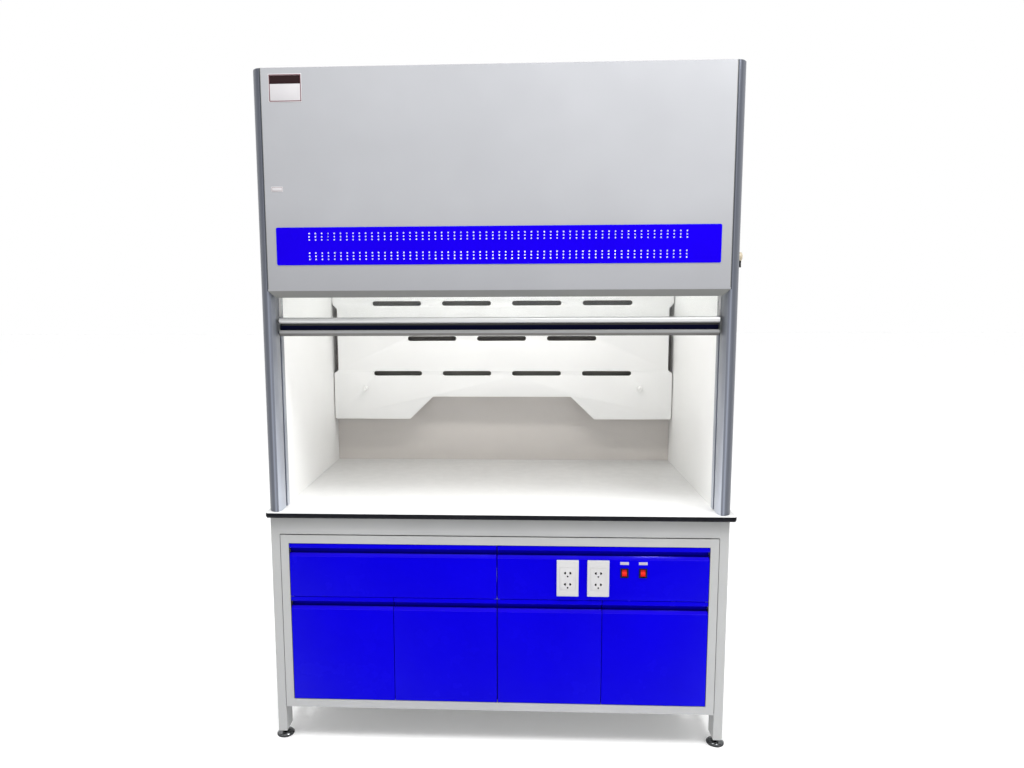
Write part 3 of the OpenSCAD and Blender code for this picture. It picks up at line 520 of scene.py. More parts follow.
def rectangle(a0, a1, b0, b1, *radii, steps=4):
    """Rectangle with one radius for all its corners, or one for each, anticlockwise from (a0, b0)."""
    corners = (a0, b0), (a1, b0), (a1, b1), (a0, b1)
    if len(radii) == 1:
        radii *= 4
    return fillet([(*corner, radius) for corner, radius in zip(corners, radii)], steps)


def join(bm, near, far):
    """A wall of faces between two equal rings of vertices."""
    for i in range(len(near)):
        j = (i + 1) % len(near)
        bm.faces.new((near[i], near[j], far[j], far[i]))


def skin(bm, rings):
    """A closed body through equal rings of vertices."""
    for near, far in zip(rings, rings[1:]):
        join(bm, near, far)
    bm.faces.new(rings[0])
    bm.faces.new(rings[-1])


def soften(bm, edges, width, steps=2):
    bmesh.ops.bevel(bm, geom=edges, offset=width * MM, segments=steps, profile=0.5, affect="EDGES",
                    clamp_overlap=True)


def prism(bm, axis, outline, w0, w1, holes=(), edge=0.0):
    """Extrudes an outline, in millimetres, with open passages along its length."""
    caps = []
    for w in (w0, w1):
        rings = []
        for loop in (outline, *holes):
            places = [{"x": (w, u, v), "y": (u, w, v), "z": (u, v, w)}[axis] for u, v in loop]
            rings.append([bm.verts.new([c * MM for c in place]) for place in places])
        caps.append(rings)
    for near, far in zip(*caps):
        join(bm, near, far)
    rim = []
    for rings in caps:
        if len(rings) == 1:
            face = bm.faces.new(rings[0])
            rim.extend(face.edges)
        else:
            edges = []
            for ring in rings:
                for i, v in enumerate(ring):
                    edges.append(bm.edges.get((v, ring[(i + 1) % len(ring)])))
            bmesh.ops.triangle_fill(bm, use_beauty=True, edges=edges)
            rim.extend(edges)
    bmesh.ops.recalc_face_normals(bm, faces=bm.faces)
    if edge > 0:
        soften(bm, rim, edge)


def block(bm, x0, x1, y0, y1, z0, z1, edge=0.0, steps=2):
    """A box in millimetres with rounded edges."""
    part = bmesh.new()
    bmesh.ops.create_cube(part, size=1.0)
    for v in part.verts:
        sides = zip(v.co, (x0, y0, z0), (x1, y1, z1))
        v.co = Vector([(a + b) / 2 + c * (b - a) for c, a, b in sides]) * MM
    if edge > 0:
        soften(part, part.edges[:], edge, steps)
    merge(bm, part)


def lathe(bm, profile, place, axis="z", steps=40):
    """Turns (radius, height) points round an axis through place, all in millimetres."""
    part = bmesh.new()
    rings = []
    for r, h in profile:
        around = steps if r > 1e-6 else 1
        turns = [2 * math.pi * i / around for i in range(around)]
        places = [(r * MM * math.cos(a), r * MM * math.sin(a), h * MM) for a in turns]
        rings.append([part.verts.new(place) for place in places])
    for near, far in zip(rings, rings[1:]):
        for i in range(steps):
            j = (i + 1) % steps
            corners = [near[i % len(near)], near[j % len(near)], far[j % len(far)], far[i % len(far)]]
            unique = list(dict.fromkeys(corners))
            if len(unique) > 2:
                part.faces.new(unique)
    for ring in (rings[0], rings[-1]):
        if len(ring) > 1:
            part.faces.new(ring)
    turn = {
        "z": Matrix.Identity(4), "x": Matrix.Rotation(math.pi / 2, 4, "Y"),
        "-y": Matrix.Rotation(math.pi / 2, 4, "X"),
    }[axis]
    part.transform(Matrix.Translation(Vector(place) * MM) @ turn)
    bmesh.ops.recalc_face_normals(part, faces=part.faces)
    merge(bm, part)


def merge(bm, part):
    """Adds part's geometry to bm and frees part."""
    mesh = bpy.data.meshes.new("merge")
    part.to_mesh(mesh)
    part.free()
    bm.from_mesh(mesh)
    bpy.data.meshes.remove(mesh)


def mirrored(bm):
    """A copy of bm on the other side of the middle plane."""
    other = bm.copy()
    bmesh.ops.scale(other, vec=(-1, 1, 1), verts=other.verts)
    bmesh.ops.reverse_faces(other, faces=other.faces)
    return other


def as_object(bm, name):
    mesh = bpy.data.meshes.new(name)
    bm.to_mesh(mesh)
    bm.free()
    return placed(name, mesh)


def evaluated(obj):
    """The geometry of a curve, or of a mesh with its modifiers."""
    bpy.context.view_layer.update()
    mesh = bpy.data.meshes.new_from_object(obj.evaluated_get(bpy.context.evaluated_depsgraph_get()))
    bm = bmesh.new()
    bm.from_mesh(mesh)
    bpy.data.meshes.remove(mesh)
    return bm


def carve(bm, cutter):
    """bm with the cutter's solids taken away."""
    body, tool = as_object(bm, "carved"), as_object(cutter, "cutter")
    cut = body.modifiers.new("cut", "BOOLEAN")
    cut.operation = "DIFFERENCE"
    cut.solver = "EXACT"
    cut.object = tool
    result = evaluated(body)
    # An object goes with its mesh
    for mesh in (body.data, tool.data):
        bpy.data.meshes.remove(mesh)
    return result


def finish_piece(name, bm, looks, node=None, body=HOOD, smooth=32):
    """Makes the object, shades it, ties it to its body, and hides the CAD node that it stands for."""
    obj = as_object(bm, name)
    for look in looks:
        obj.data.materials.append(M[look])
    obj.data.shade_smooth()
    obj.data.set_sharp_from_angle(angle=math.radians(smooth))
    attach(obj, body)
    if node:
        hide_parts(node)
    return obj


def plate(name, loops, y0, y1, edge, look, node, resolution=1, smooth=32):
    """An upright sheet with holes, made as a filled 2-D curve with softly rounded rims."""
    curve = bpy.data.curves.new(name, "CURVE")
    curve.dimensions = "2D"
    curve.fill_mode = "BOTH"
    curve.extrude = (y1 - y0) / 2 * MM - edge * MM
    curve.bevel_depth = edge * MM
    curve.bevel_resolution = resolution
    curve.offset = -edge * MM
    for loop in loops:
        spline = curve.splines.new("POLY")
        spline.points.add(len(loop) - 1)
        for point, (u, v) in zip(spline.points, loop):
            point.co = (u * MM, v * MM, 0, 1)
        spline.use_cyclic_u = True
    bm = evaluated(placed(name + "_curve", curve))
    bpy.data.curves.remove(curve)
    bmesh.ops.remove_doubles(bm, verts=bm.verts, dist=1e-6)
    middle = (y0 + y1) / 2 * MM
    for v in bm.verts:
        x, z, y = v.co
        v.co = Vector((x, y + middle, z))
    bmesh.ops.recalc_face_normals(bm, faces=bm.faces)
    finish_piece(name, bm, [look], node, smooth=smooth)


# ---------------- base frame and feet


def make_legs():
    """Two side frames: a front and a rear leg with an upper and a lower rail between them."""
    _, x1, y0, y1, z0, z1 = extent("leg_frames")
    inner = x1 - LEG_WIDE
    low_rail = extent("cross_rails")[4]
    bm = bmesh.new()
    for fy in (y0, y1 - LEG_DEEP):
        prism(bm, "z", rectangle(inner, x1, fy, fy + LEG_DEEP, 0.2, 3, 3, 0.2), z0, z1)
    for za, zb in ((z1 - LEG_DEEP, z1), (low_rail, low_rail + LEG_WIDE)):
        # A little thinner than the legs, so that no two faces lie in one plane
        section = rectangle(inner + 0.3, x1 - 0.3, za, zb - 0.1, 3)
        prism(bm, "y", section, y0 + LEG_DEEP, y1 - LEG_DEEP)
    merge(bm, mirrored(bm))
    finish_piece("leg_frame_tubes", bm, ["leg_steel"], "leg_frames")


def make_rails():
    """Upper rails at the front and rear, and two bearers under the cabinet."""
    _, x1, y0, _, _, z1 = extent("leg_frames")
    _, _, front, rear, bearer, _ = extent("cross_rails")
    cabinet_rear = extent("cabinet_sides")[3]
    inner, wall = x1 - LEG_WIDE, 2
    bm = bmesh.new()
    for y, za, zb in (
        (front, z1 - LEG_DEEP, z1), (rear - LEG_WIDE, z1 - LEG_DEEP, z1),
        (y0 + 90, bearer, bearer + LEG_WIDE), (cabinet_rear - 60, bearer, bearer + LEG_WIDE),
    ):
        outer = rectangle(y, y + LEG_WIDE, za, zb, 1.5, 3, 3, 0.5)
        bore = rectangle(y + wall, y + LEG_WIDE - wall, za + wall, zb - wall, 1.5, steps=3)
        prism(bm, "x", outer, -inner, inner, [bore])
    finish_piece("cross_rail_tubes", bm, ["tube_steel"], "cross_rails")


def make_feet():
    """Levelling feet: rubber pad, domed cup and threaded stem with a nut."""
    _, x1, y0, y1, _, pad_top = extent("foot_pads")
    stem_top = extent("foot_stems")[5]
    radius = x1 - extent("leg_frames")[1] + LEG_WIDE / 2
    pad = [(0, 0), (radius - 2, 0), (radius - 0.6, 0.5), (radius, 1.6), (radius, 4.0),
           (radius - 0.7, 4.8), (radius - 1.6, pad_top), (0, pad_top)]
    dome = [(0, pad_top), (radius - 2, pad_top), (radius - 2.2, 6.4)]
    dome += arc(0, 6.4, radius - 3, 7.3, 10, 70, 6) + [(7.5, 13.9), (6.8, 13.6), (5.2, 13.6)]
    thread = []
    h = 13.8
    while h < 34:
        thread += [(5.0, h), (4.45, h + 0.6)]
        h += 1.25
    tip = [(5.0, stem_top - 0.5), (4.5, stem_top), (0, stem_top)]
    nut = [(5.4, 20), (8.4, 20), (9.5, 20.8), (9.5, 25.7), (8.4, 26.5), (5.4, 26.5)]
    pads, stems = bmesh.new(), bmesh.new()
    for side in (-1, 1):
        for y in (y0 + radius, y1 - radius):
            at = (side * (x1 - radius), y, 0)
            lathe(pads, pad, at, steps=56)
            lathe(stems, dome + thread + tip, at)
            lathe(stems, nut, at, steps=6)
    finish_piece("foot_bases", pads, ["foot_rubber"], "foot_pads")
    finish_piece("foot_domes", stems, ["plated_steel"], "foot_stems")


# ---------------- fronts

# Each front has a finger pull under its top: a flat strip, an open mouth, and a lip that curves
# back to the mouth
STRIP, MOUTH, LIP_RISE, PULL_DEPTH, LIP_BACK = 14, 18, 10, 15.5, 8
FRONT_DEPTH = 18


def front_shell(node, cutters=None):
    """Folded sheet front with a finger pull along its top, open at the rear."""
    x0, x1, y0, _, z0, z1 = extent(node)
    lip = z1 - STRIP - MOUTH
    outline = fillet([
        (y0, z0, 0.8), (y0, lip - LIP_RISE, 7), (y0 + LIP_BACK - 0.6, lip, 1.0),
        (y0 + LIP_BACK + 2.2, lip, 0.9), (y0 + PULL_DEPTH, lip - 6, 2.0),
        (y0 + PULL_DEPTH, z1 - STRIP, 1.2), (y0, z1 - STRIP, 0.8),
        (y0, z1, 0.6), (y0 + FRONT_DEPTH, z1, 0.8), (y0 + FRONT_DEPTH, z0, 0.6),
    ])
    bm = bmesh.new()
    prism(bm, "x", outline, x0, x1, edge=0.9)
    hollow = bmesh.new()
    head = lip - LIP_RISE - SHEET
    block(hollow, x0 + SHEET, x1 - SHEET, y0 + SHEET, y0 + FRONT_DEPTH + 2, z0 + SHEET, head)
    shell = carve(bm, hollow)
    return carve(shell, cutters) if cutters else shell


def finish_front(name, bm, body, node):
    """Painted shade: the recess of the finger pull gets a darker blue; its lip gets a glossier blue, a
    little lighter as painted highlight, that catches the light.
    """
    _, _, y0, _, _, z1 = extent(node)
    obj = finish_piece(name, bm, ["blue_steel", "blue_recess_shade", "blue_lip_highlight"], node, body=body)
    lip = z1 - STRIP - MOUTH
    for face in obj.data.polygons:
        _, y, z = face.center / MM
        if abs(face.normal.x) > 0.9:
            continue
        if y0 + LIP_BACK - 2 < y < y0 + PULL_DEPTH + 0.5 and lip - 7 < z < z1 - STRIP + 0.5:
            face.material_index = 1
        elif lip - LIP_RISE - 5 < z < lip + 0.5 and face.normal.z > 0.08 and y < y0 + LIP_BACK + 3:
            face.material_index = 2


def make_doors():
    """Each door turns about pins in two blocks behind its outer edge."""
    for node, side in (("left_outer_door", 1), ("left_inner_door", -1),
                       ("right_inner_door", 1), ("right_outer_door", -1)):
        x0, x1, y0, _, z0, z1 = extent(node)
        shell = front_shell(node)
        pivot = x0 + 3 if side > 0 else x1 - 3
        near, far = sorted((pivot - side * 1.4, pivot + side * 9))
        for za, zb in ((z0 + SHEET, z0 + 12), (z1 - 48.5, z1 - 43.6)):
            block(shell, near, far, y0 + 1.6, y0 + 12, za, zb, 0.5)
        finish_front(node + "_panel", shell, node, node)


def make_upper_fronts():
    """The drawer front, and the service panel with its openings for sockets and switches."""
    finish_front("drawer_front_panel", front_shell("drawer_front"), "drawer", "drawer_front")
    face = extent("service_panel")[2]
    openings = bmesh.new()
    for node, wide, half, margin in (
        ("socket_plates", PLATE_WIDE, 27, 14), ("rocker_bezels", BEZEL_WIDE, 11.5, 1.3),
    ):
        z0, z1 = extent(node)[4:]
        for cx in ends(node, wide):
            block(openings, cx - half, cx + half, face - 3, face + 4, z0 + margin, z1 - margin)
    shell = front_shell("service_panel", openings)
    finish_front("service_panel_sheet", shell, HOOD, "service_panel")


# ---------------- sockets and switches


def make_sockets():
    face = extent("cabinet_sides")[2]
    _, _, y0, y1, z0, z1 = extent("socket_plates")
    middle, half = (z0 + z1) / 2, PLATE_WIDE / 2
    centres = ends("socket_plates", PLATE_WIDE)
    # A flat slot that widens into a round hole, for both pin shapes
    pin_hole = fillet([
        (-2.1, -4.2, 0.4), (1.9, -4.2, 0.4), (1.9, -3.0), (4.3, -2.6, 1.9),
        (4.3, 2.6, 1.9), (1.9, 3.0), (1.9, 4.2, 0.4), (-2.1, 4.2, 0.4),
    ], 4)
    plates, modules = bmesh.new(), bmesh.new()
    for cx in centres:
        part, cut = bmesh.new(), bmesh.new()
        block(part, cx - half, cx + half, y0, y1, z0, z1, 2.2, 3)
        block(cut, cx - 26, cx + 26, y0 - 2, y1 + 2, middle - 37, middle + 37)
        merge(plates, carve(part, cut))
        part, cut = bmesh.new(), bmesh.new()
        block(part, cx - 25.8, cx + 25.8, face - 9, face + 27.8, middle - 36.8, middle + 36.8, 0.4)
        for cz in (middle - 19, middle + 19):
            holes = [[(cx + side * (7.7 + a), cz + b) for a, b in pin_hole] for side in (-1, 1)]
            holes.append(arc(cx, cz - 11.5, 2.9, 2.9, 0, 345, 23))
            for hole in holes:
                prism(cut, "y", hole, face - 12, face + 10)
        merge(modules, carve(part, cut))
    finish_piece("socket_faceplates", plates, ["socket_plastic"], "socket_plates")
    looks = ["socket_plastic", "black_plastic"]
    piece = finish_piece("socket_inserts", modules, looks, "socket_modules")
    # The contacts are deep inside, so the walls of the pin holes take black plastic as painted shade
    for wall in piece.data.polygons:
        x, y, z = wall.center / MM
        aside = min(abs(x - cx) for cx in centres)
        if face - 8.2 < y < face + 11 and aside < 16 and abs(z - middle) < 36:
            wall.material_index = 1


def make_bezels():
    _, _, y0, y1, z0, z1 = extent("rocker_bezels")
    half = BEZEL_WIDE / 2
    bezels = bmesh.new()
    for cx in ends("rocker_bezels", BEZEL_WIDE):
        part, cut = bmesh.new(), bmesh.new()
        block(part, cx - half, cx + half, y0, y0 + 2.5, z0, z1, 1.0, 3)
        block(part, cx - half + 2, cx + half - 2, y0 + 2.4, y1, z0 + 1.4, z1 - 1.4)
        block(cut, cx - half + 5, cx + half - 5, y0 - 2, y1 - 2, z0 + 2.7, z1 - 2.7)
        merge(bezels, carve(part, cut))
    finish_piece("rocker_frames", bezels, ["black_plastic"], "rocker_bezels")


def make_rockers():
    """Rockers with a hollow face on a pin; each rests tilted about its joint's axis."""
    outline = fillet([
        (-8.8, -11.2, 0.9), (-7.6, 0, 9), (-8.8, 11.2, 0.9), (0, 11.2, 1), (5, 5), (5, -5), (0, -11.2, 1),
    ], 4)
    tilt = Matrix.Rotation(math.radians(-8), 4, "X")
    for node, body in (("lamp_rocker", "lamp_switch"), ("fan_rocker", "fan_switch")):
        x0, x1 = extent(node)[:2]
        joint = next(j for j in frame["joints"] if j["child"] == body)
        _, y, z = joint["pos_m"]
        bm = bmesh.new()
        prism(bm, "x", outline, -8, 8, edge=0.6)
        pin = [(0, 0), (1.5, 0), (1.5, x1 - x0), (0, x1 - x0)]
        lathe(bm, pin, ((x0 - x1) / 2, 0, 0), "x", 20)
        bm.transform(Matrix.Translation(((x0 + x1) / 2 * MM, y, z)) @ tilt)
        finish_piece(node + "_cap", bm, ["red_plastic"], node, body=body)


def make_labels():
    """Blank plates with a thin rim, where the hood carries stickers."""
    top = extent("blank_labels")[5]
    switch_top = extent("rocker_bezels")[5]
    face, fascia = extent("cabinet_sides")[2], extent("fascia_panel")[2]
    thick, print_thick = 0.5, 0.08
    plates, prints = bmesh.new(), bmesh.new()
    for cx in ends("rocker_bezels", BEZEL_WIDE):
        block(plates, cx - 14, cx + 14, face - 0.6, face, switch_top + 12.2, switch_top + 21.7, 0.25)
    # The sign and the small label on the front panel: left, right, bottom, top, width of rim
    front = fascia - thick
    sign, small = (-696, -593, top - 84, top, 2.6), (-699, -662, top - 351.5, top - 336, 0.8)
    for xa, xb, za, zb, rim in (sign, small):
        block(plates, xa, xb, front, fascia, za, zb, 0.2)
        xa, xb, za, zb = xa + 2, xb - 2, za + 2, zb - 2
        hole = rectangle(xa + rim, xb - rim, za + rim, zb - rim, 1)
        prism(prints, "y", rectangle(xa, xb, za, zb, 2), front - print_thick, front, [hole])
    # The sign's dark header
    xa, xb, za, zb = -692, -597, top - 30, top - 5
    block(prints, xa, xb, front - print_thick, front, za, zb)
    piece = finish_piece("blank_plates", plates, ["label_white", "sign_white"], "blank_labels")
    for side in piece.data.polygons:
        side.material_index = int(side.center.x < 0)
    piece = finish_piece("blank_plate_rims", prints, ["label_rim", "label_header"])
    for side in piece.data.polygons:
        x, _, z = side.center / MM
        side.material_index = int(xa + 2 < x < xb - 2 and za - 0.1 < z < zb + 0.1)


# ---------------- worktop, posts, front panel


def make_worktop():
    """Slab with rounded front corners, a bevel below its rim and a softened upper edge."""
    x0, x1, y0, y1, z0, z1 = extent("worktop")
    corner, bevel, round_off = 12, 6, 0.7
    outline = rectangle(x0, x1, y0, y1, corner, corner, 1.5, 1.5, steps=12)
    # Height, how far the bevel clips the outline, how far the whole outline lies inwards
    levels = [(z0, bevel, 0), (z0 + 0.4, bevel - 0.6, 0), (z0 + bevel, 0, 0), (z1 - round_off, 0, 0),
              (z1 - 0.2, 0, 0.2), (z1, 0, round_off)]
    cx, cy = (x0 + x1) / 2, (y0 + y1) / 2
    bm = bmesh.new()
    rings = []
    for z, clip, inset in levels:
        ring = []
        for x, y in outline:
            px = min(max(x - math.copysign(inset, x - cx), x0 + clip), x1 - clip)
            py = max(y - math.copysign(inset, y - cy), y0 + clip)
            ring.append(bm.verts.new((px * MM, py * MM, z * MM)))
        rings.append(ring)
    skin(bm, rings)
    bmesh.ops.remove_doubles(bm, verts=bm.verts, dist=1e-6)
    bmesh.ops.recalc_face_normals(bm, faces=bm.faces)
    finish_piece("worktop_slab", bm, ["worktop"], "worktop")


def glass_middle():
    """The y of the middle plane of the sash glass."""
    return sum(extent("sash_glass")[2:4]) / 2


def make_posts():
    """Extrusions with a round nose, a sash groove in the inner flank and two hollow chambers."""
    _, x1, y0, y1, z0, z1 = extent("posts")
    inner, wall, sash = x1 - POST_WIDE, 3, glass_middle()
    g0, g1, depth = sash - 7, sash + 7, inner + 29
    # The nose is a large quarter ellipse outwards and a narrow one towards the chamber
    cx, wide_y, narrow_y = x1 - 35, y0 + 56, y0 + 30
    nose = arc(cx, wide_y, 35, 56, 0, -90, 36) + arc(cx, narrow_y, 13, 30, -95, -180, 14)
    inside = fillet([
        (inner, y0 + 40), (inner, g0, 0.8), (depth, g0, 0.3), (depth, g1, 0.3), (inner, g1, 0.8),
        (inner, y1, 0.8), (x1, y1, 1.5), nose[0],
    ], 4)
    front = arc(cx, wide_y, 35 - wall, 56 - wall, 0, -90, 24)
    front += arc(cx, narrow_y, 13 - wall, 30 - wall, -100, -180, 8) + [(inner + wall, wide_y)]
    rear = rectangle(inner + wall, x1 - wall, g1 + wall, y1 - wall, 0)
    bm, pocket = bmesh.new(), bmesh.new()
    prism(bm, "z", nose + inside[:-1], z0, z1, [front, rear])
    # Room for the pulleys on the cross shaft
    axle = sum(extent("cross_shaft")[4:]) / 2
    block(pocket, inner - 1, depth + 1, sash - 10, y1 + 1, axle - 60, z1 + 1)
    bm = carve(bm, pocket)
    merge(bm, mirrored(bm))
    looks = ["post_alloy", "post_inner_lit", "post_outer_shaded"]
    piece = finish_piece("post_profiles", bm, looks, "posts", smooth=25)
    # Painted light and shade: the flanks that face the chamber take the brighter copy, the outer ones the
    # darker copy
    for face in piece.data.polygons:
        outward = face.normal.x * math.copysign(1, face.center.x)
        face.material_index = 1 if outward < -0.82 else 2 if outward > 0.62 else 0


def make_fascia():
    """Front panel with turned-in sides, a bevelled lip below and a flange at the top."""
    _, half, y0, y1, z0, z1 = extent("fascia_panel")
    fold = z0 + 21.5
    fold_top = fold + 6
    bm = bmesh.new()
    lip = fillet([
        (y0, fold_top), (y0, fold, 4), (y0 + 20, z0, 0.5), (y0 + 20, z0 + 2, 0.5),
        (y0 + SHEET, fold + 0.7, 2.5), (y0 + SHEET, fold_top),
    ])
    prism(bm, "x", lip, -half, half)
    face = fillet([
        (-half, y0 + 6, 0.3), (-half, y0, 2.2), (half, y0, 2.2), (half, y0 + 6, 0.3),
        (half - SHEET, y0 + 6, 0.3), (half - SHEET, y0 + SHEET, 0.8),
        (-half + SHEET, y0 + SHEET, 0.8), (-half + SHEET, y0 + 6, 0.3),
    ])
    prism(bm, "z", face, fold_top, z1)
    cut = bmesh.new()
    for side in (1, -1):
        # The lip's ends are cut off at a slant
        end = [(half, y0 - 1), (half + 6, y0 - 1), (half + 6, y0 + 30), (half - 30, y0 + 30), (half, y0)]
        prism(cut, "z", [(side * x, y) for x, y in end], z0 - 2, fold)
    for z in band_rows():
        block(cut, -600, 600, y0 - 1, y0 + 3, z - 17, z + 17)
    bm = carve(bm, cut)
    flange = extent("posts")[1] - POST_WIDE - 4
    block(bm, -flange, flange, y0 + SHEET, y1, z1 - SHEET, z1, 0.4)
    looks = ["fascia_steel", "fascia_shade", "fascia_cut_shade"]
    piece = finish_piece("fascia_sheet", bm, looks, "fascia_panel")
    # Painted shade on the lip's underside and along the side edges beside the posts, near black on the
    # lip's slanted ends
    for face in piece.data.polygons:
        x, y, z = face.center / MM
        if z < fold + 1:
            face.material_index = 2 if abs(face.normal.x) > 0.3 else 1 if face.normal.z < -0.3 else 0
        elif abs(x) > half - 2.4 and y < y0 + 7:
            face.material_index = 1


def band_rows():
    """Heights of the two groups of holes in the blue band."""
    middle = sum(extent("bypass_grille")[4:]) / 2
    return middle - 30.75, middle + 29.25


def make_band():
    """Blue perforated band: two groups of three rows of holes."""
    x0, x1, y0, y1, z0, z1 = extent("bypass_grille")
    count, pitch, first, rise, hole = 60, 19.8, -584.1, 9.8, 2.5
    loops = [rectangle(x0, x1, z0, z1, 5, steps=8)]
    for group in band_rows():
        for z in (group - rise, group, group + rise):
            for i in range(count):
                loops.append(arc(i * pitch + first, z, hole, hole, 0, 340, 17))
    plate("bypass_band", loops, y0, y1, 0.18, "band_steel", "bypass_grille", smooth=8)


# ---------------- sash


def make_handle():
    """Handle extrusion: round nose above, a dark groove below it, and a slot that holds the glass.

    Returns its outline, which the end caps share.
    """
    x0, x1, y0, y1, z0, z1 = extent("sash_handle")
    glass, slot, wall = glass_middle(), GLASS_SLOT, 3
    deep, brow = z0 + 22, z1 - 18
    middle = deep + 0.66 * (brow - deep)
    outline = fillet([
        (y1, z0, 1.2), (y1, z1, 1.5), (glass + slot, z1, 0.4), (glass + slot, deep, 0.2),
        (glass - slot, deep, 0.2), (glass - slot, z1, 0.4),
    ], 4) + arc(y0 + 9, z1 - 9, 9, 9, 90, 230, 18) + fillet([
        (y0 + 10, brow, 0.8), (y0 + 24, brow, 1.5), (y0 + 24, middle, 0.2), (y0 + 22.6, middle - 0.6, 0.3),
        (y0 + 22.6, deep, 0.8), (y0 + 6, deep, 1.6), (y0 + 2, deep - 3, 1.0),
        (y0 + 2, z0 + 12, 1.5), (y0 + 12, z0, 1.5),
    ], 4)
    upper = rectangle(y0 + 9, glass - slot - wall, z1 - 15, z1 - wall, 2, 1, 1, 2, steps=3)
    lower = rectangle(y0 + 14, y1 - wall, z0 + wall, deep - wall, 2, 1, 1, 2, steps=3)
    bm = bmesh.new()
    prism(bm, "x", outline, x0, x1, [upper, lower])
    looks = ["handle_alloy", "groove_shade", "groove_film", "handle_shade", "handle_under_shade"]
    piece = finish_piece("sash_handle_profile", bm, looks, "sash_handle", body="sash", smooth=28)
    # Painted shade: the upper part of the groove is near black, the lower lip a darker copy of the alloy
    # and its underside darker still
    for face in piece.data.polygons:
        _, y, z = face.center / MM
        if y0 + 11 < y < y0 + 25 and deep - 0.5 < z < brow + 1 and abs(face.normal.x) < 0.5:
            face.material_index = 2 if z < middle and y > y0 + 20 else 1
        elif z <= deep + 0.5:
            face.material_index = 4 if face.normal.z < -0.3 else 3
    return outline


def make_sash_channels():
    """Edge channels of the glass, with the blocks that take the cables."""
    x1, z1 = extent("sash_guides")[1], extent("sash_guides")[5]
    z0 = extent("sash_handle")[5] + 2
    glass, half = glass_middle(), 5.5
    lip, web, back = 706, 718.1, 724.5
    front, rear = glass - half, glass + half
    near, far = glass - GLASS_SLOT, glass + GLASS_SLOT
    section = fillet([
        (lip, front, 0.8), (back, front, 0.8), (back, rear, 0.8), (lip, rear, 0.8),
        (lip, far), (web, far), (web, near), (lip, near),
    ], 3)
    bm = bmesh.new()
    prism(bm, "z", section, z0, z1)
    block(bm, back - 0.2, x1, front + 0.2, rear - 0.2, z0 + 6, z0 + 26, 1.2, 3)
    merge(bm, mirrored(bm))
    finish_piece("sash_channels", bm, ["white_plastic"], "sash_guides", body="sash")


def make_end_caps(outline):
    """Caps on both ends of the handle."""
    x1 = extent("sash_handle")[1]
    caps = bmesh.new()
    prism(caps, "x", outline, x1, x1 + 2)
    merge(caps, mirrored(caps))
    finish_piece("sash_end_caps", caps, ["black_plastic"], body="sash", smooth=28)


def strand_rope(bm, x, y, z0, z1, radius):
    """Six wires laid round a core."""
    lay, around = 26, 18
    turns = (z1 - z0) / lay
    count = max(24, int(turns * 10))
    rings = []
    for k in range(count + 1):
        z = z0 + (z1 - z0) * k / count
        twist = 2 * math.pi * turns * k / count
        ring = []
        for i in range(around):
            a = 2 * math.pi * i / around
            r = radius * (0.90 + 0.10 * abs(math.cos(3 * (a - twist))))
            ring.append(bm.verts.new(((x + r * math.cos(a)) * MM, (y + r * math.sin(a)) * MM, z * MM)))
        rings.append(ring)
    skin(bm, rings)


def make_cables():
    for node, body, sides in (
        ("sash_cables", "sash", (-1, 1)), ("left_weight_cable", "left_weight", (-1,)),
        ("right_weight_cable", "right_weight", (1,)),
    ):
        x0, x1, y0, y1, z0, z1 = extent(node)
        y = (y0 + y1) / 2
        radius = (y1 - y0) / 2
        bm = bmesh.new()
        for side in sides:
            strand_rope(bm, x1 - radius if side > 0 else x0 + radius, y, z0, z1, radius)
        bmesh.ops.recalc_face_normals(bm, faces=bm.faces)
        obj = as_object(bm, node + "_rope")
        obj.data.materials.append(M["cable_steel"])
        obj.data.shade_smooth()
        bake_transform(obj)
        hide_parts(node)


# ---------------- chamber


def make_baffle():
    """Slotted sheet with a raised cut-out below and notches in its sides."""
    _, x1, y0, y1, z0, z1 = extent("baffle")
    notch = 694
    right = [
        (291, z0 + 96, 2), (390, z0, 3), (x1, z0, 8), (x1, z0 + 195, 2), (notch, z0 + 209, 2),
        (notch, z0 + 466, 2), (x1, z0 + 486, 2), (x1, z1),
    ]
    left = [(-x, *rest) for x, *rest in reversed(right)]
    loops = [fillet(right + left)]
    # Slots are 205 mm long and 20 mm high, in rows of four and three
    pitch, half = 293, 10
    reach = 205 / 2 - half
    four, three = (-1.5, -0.5, 0.5, 1.5), (-1, 0, 1)
    for rise, places in ((195, four), (342, three), (489, four), (642, three)):
        z = z0 + rise
        for place in places:
            x = place * pitch
            right_end = arc(x + reach, z, half, half, -90, 90, 14)
            loops.append(right_end + arc(x - reach, z, half, half, 90, 270, 14))
    plate("baffle_sheet", loops, y0, y1, 0.5, "liner_white", "baffle", 2)


def make_knobs():
    _, _, _, y1, z0, z1 = extent("baffle_knobs")
    radius = (z1 - z0) / 2
    profile = [(0, 0), (7.4, 0), (7.4, 1.2), (6.4, 2.0), (6.0, 5.0), (6.8, 7.0), (9.4, 8.4), (radius, 10.4),
               (radius, 14.5)]
    profile += arc(radius - 4, 18.6, 4, 4.2, 0, 90, 6) + [(3.0, 22.9), (2.2, 22.4), (0, 22.3)]
    bm = bmesh.new()
    for cx in ends("baffle_knobs", 2 * radius):
        lathe(bm, profile, (cx, y1, (z0 + z1) / 2), "-y", 48)
    finish_piece("baffle_grips", bm, ["white_plastic"], "baffle_knobs")


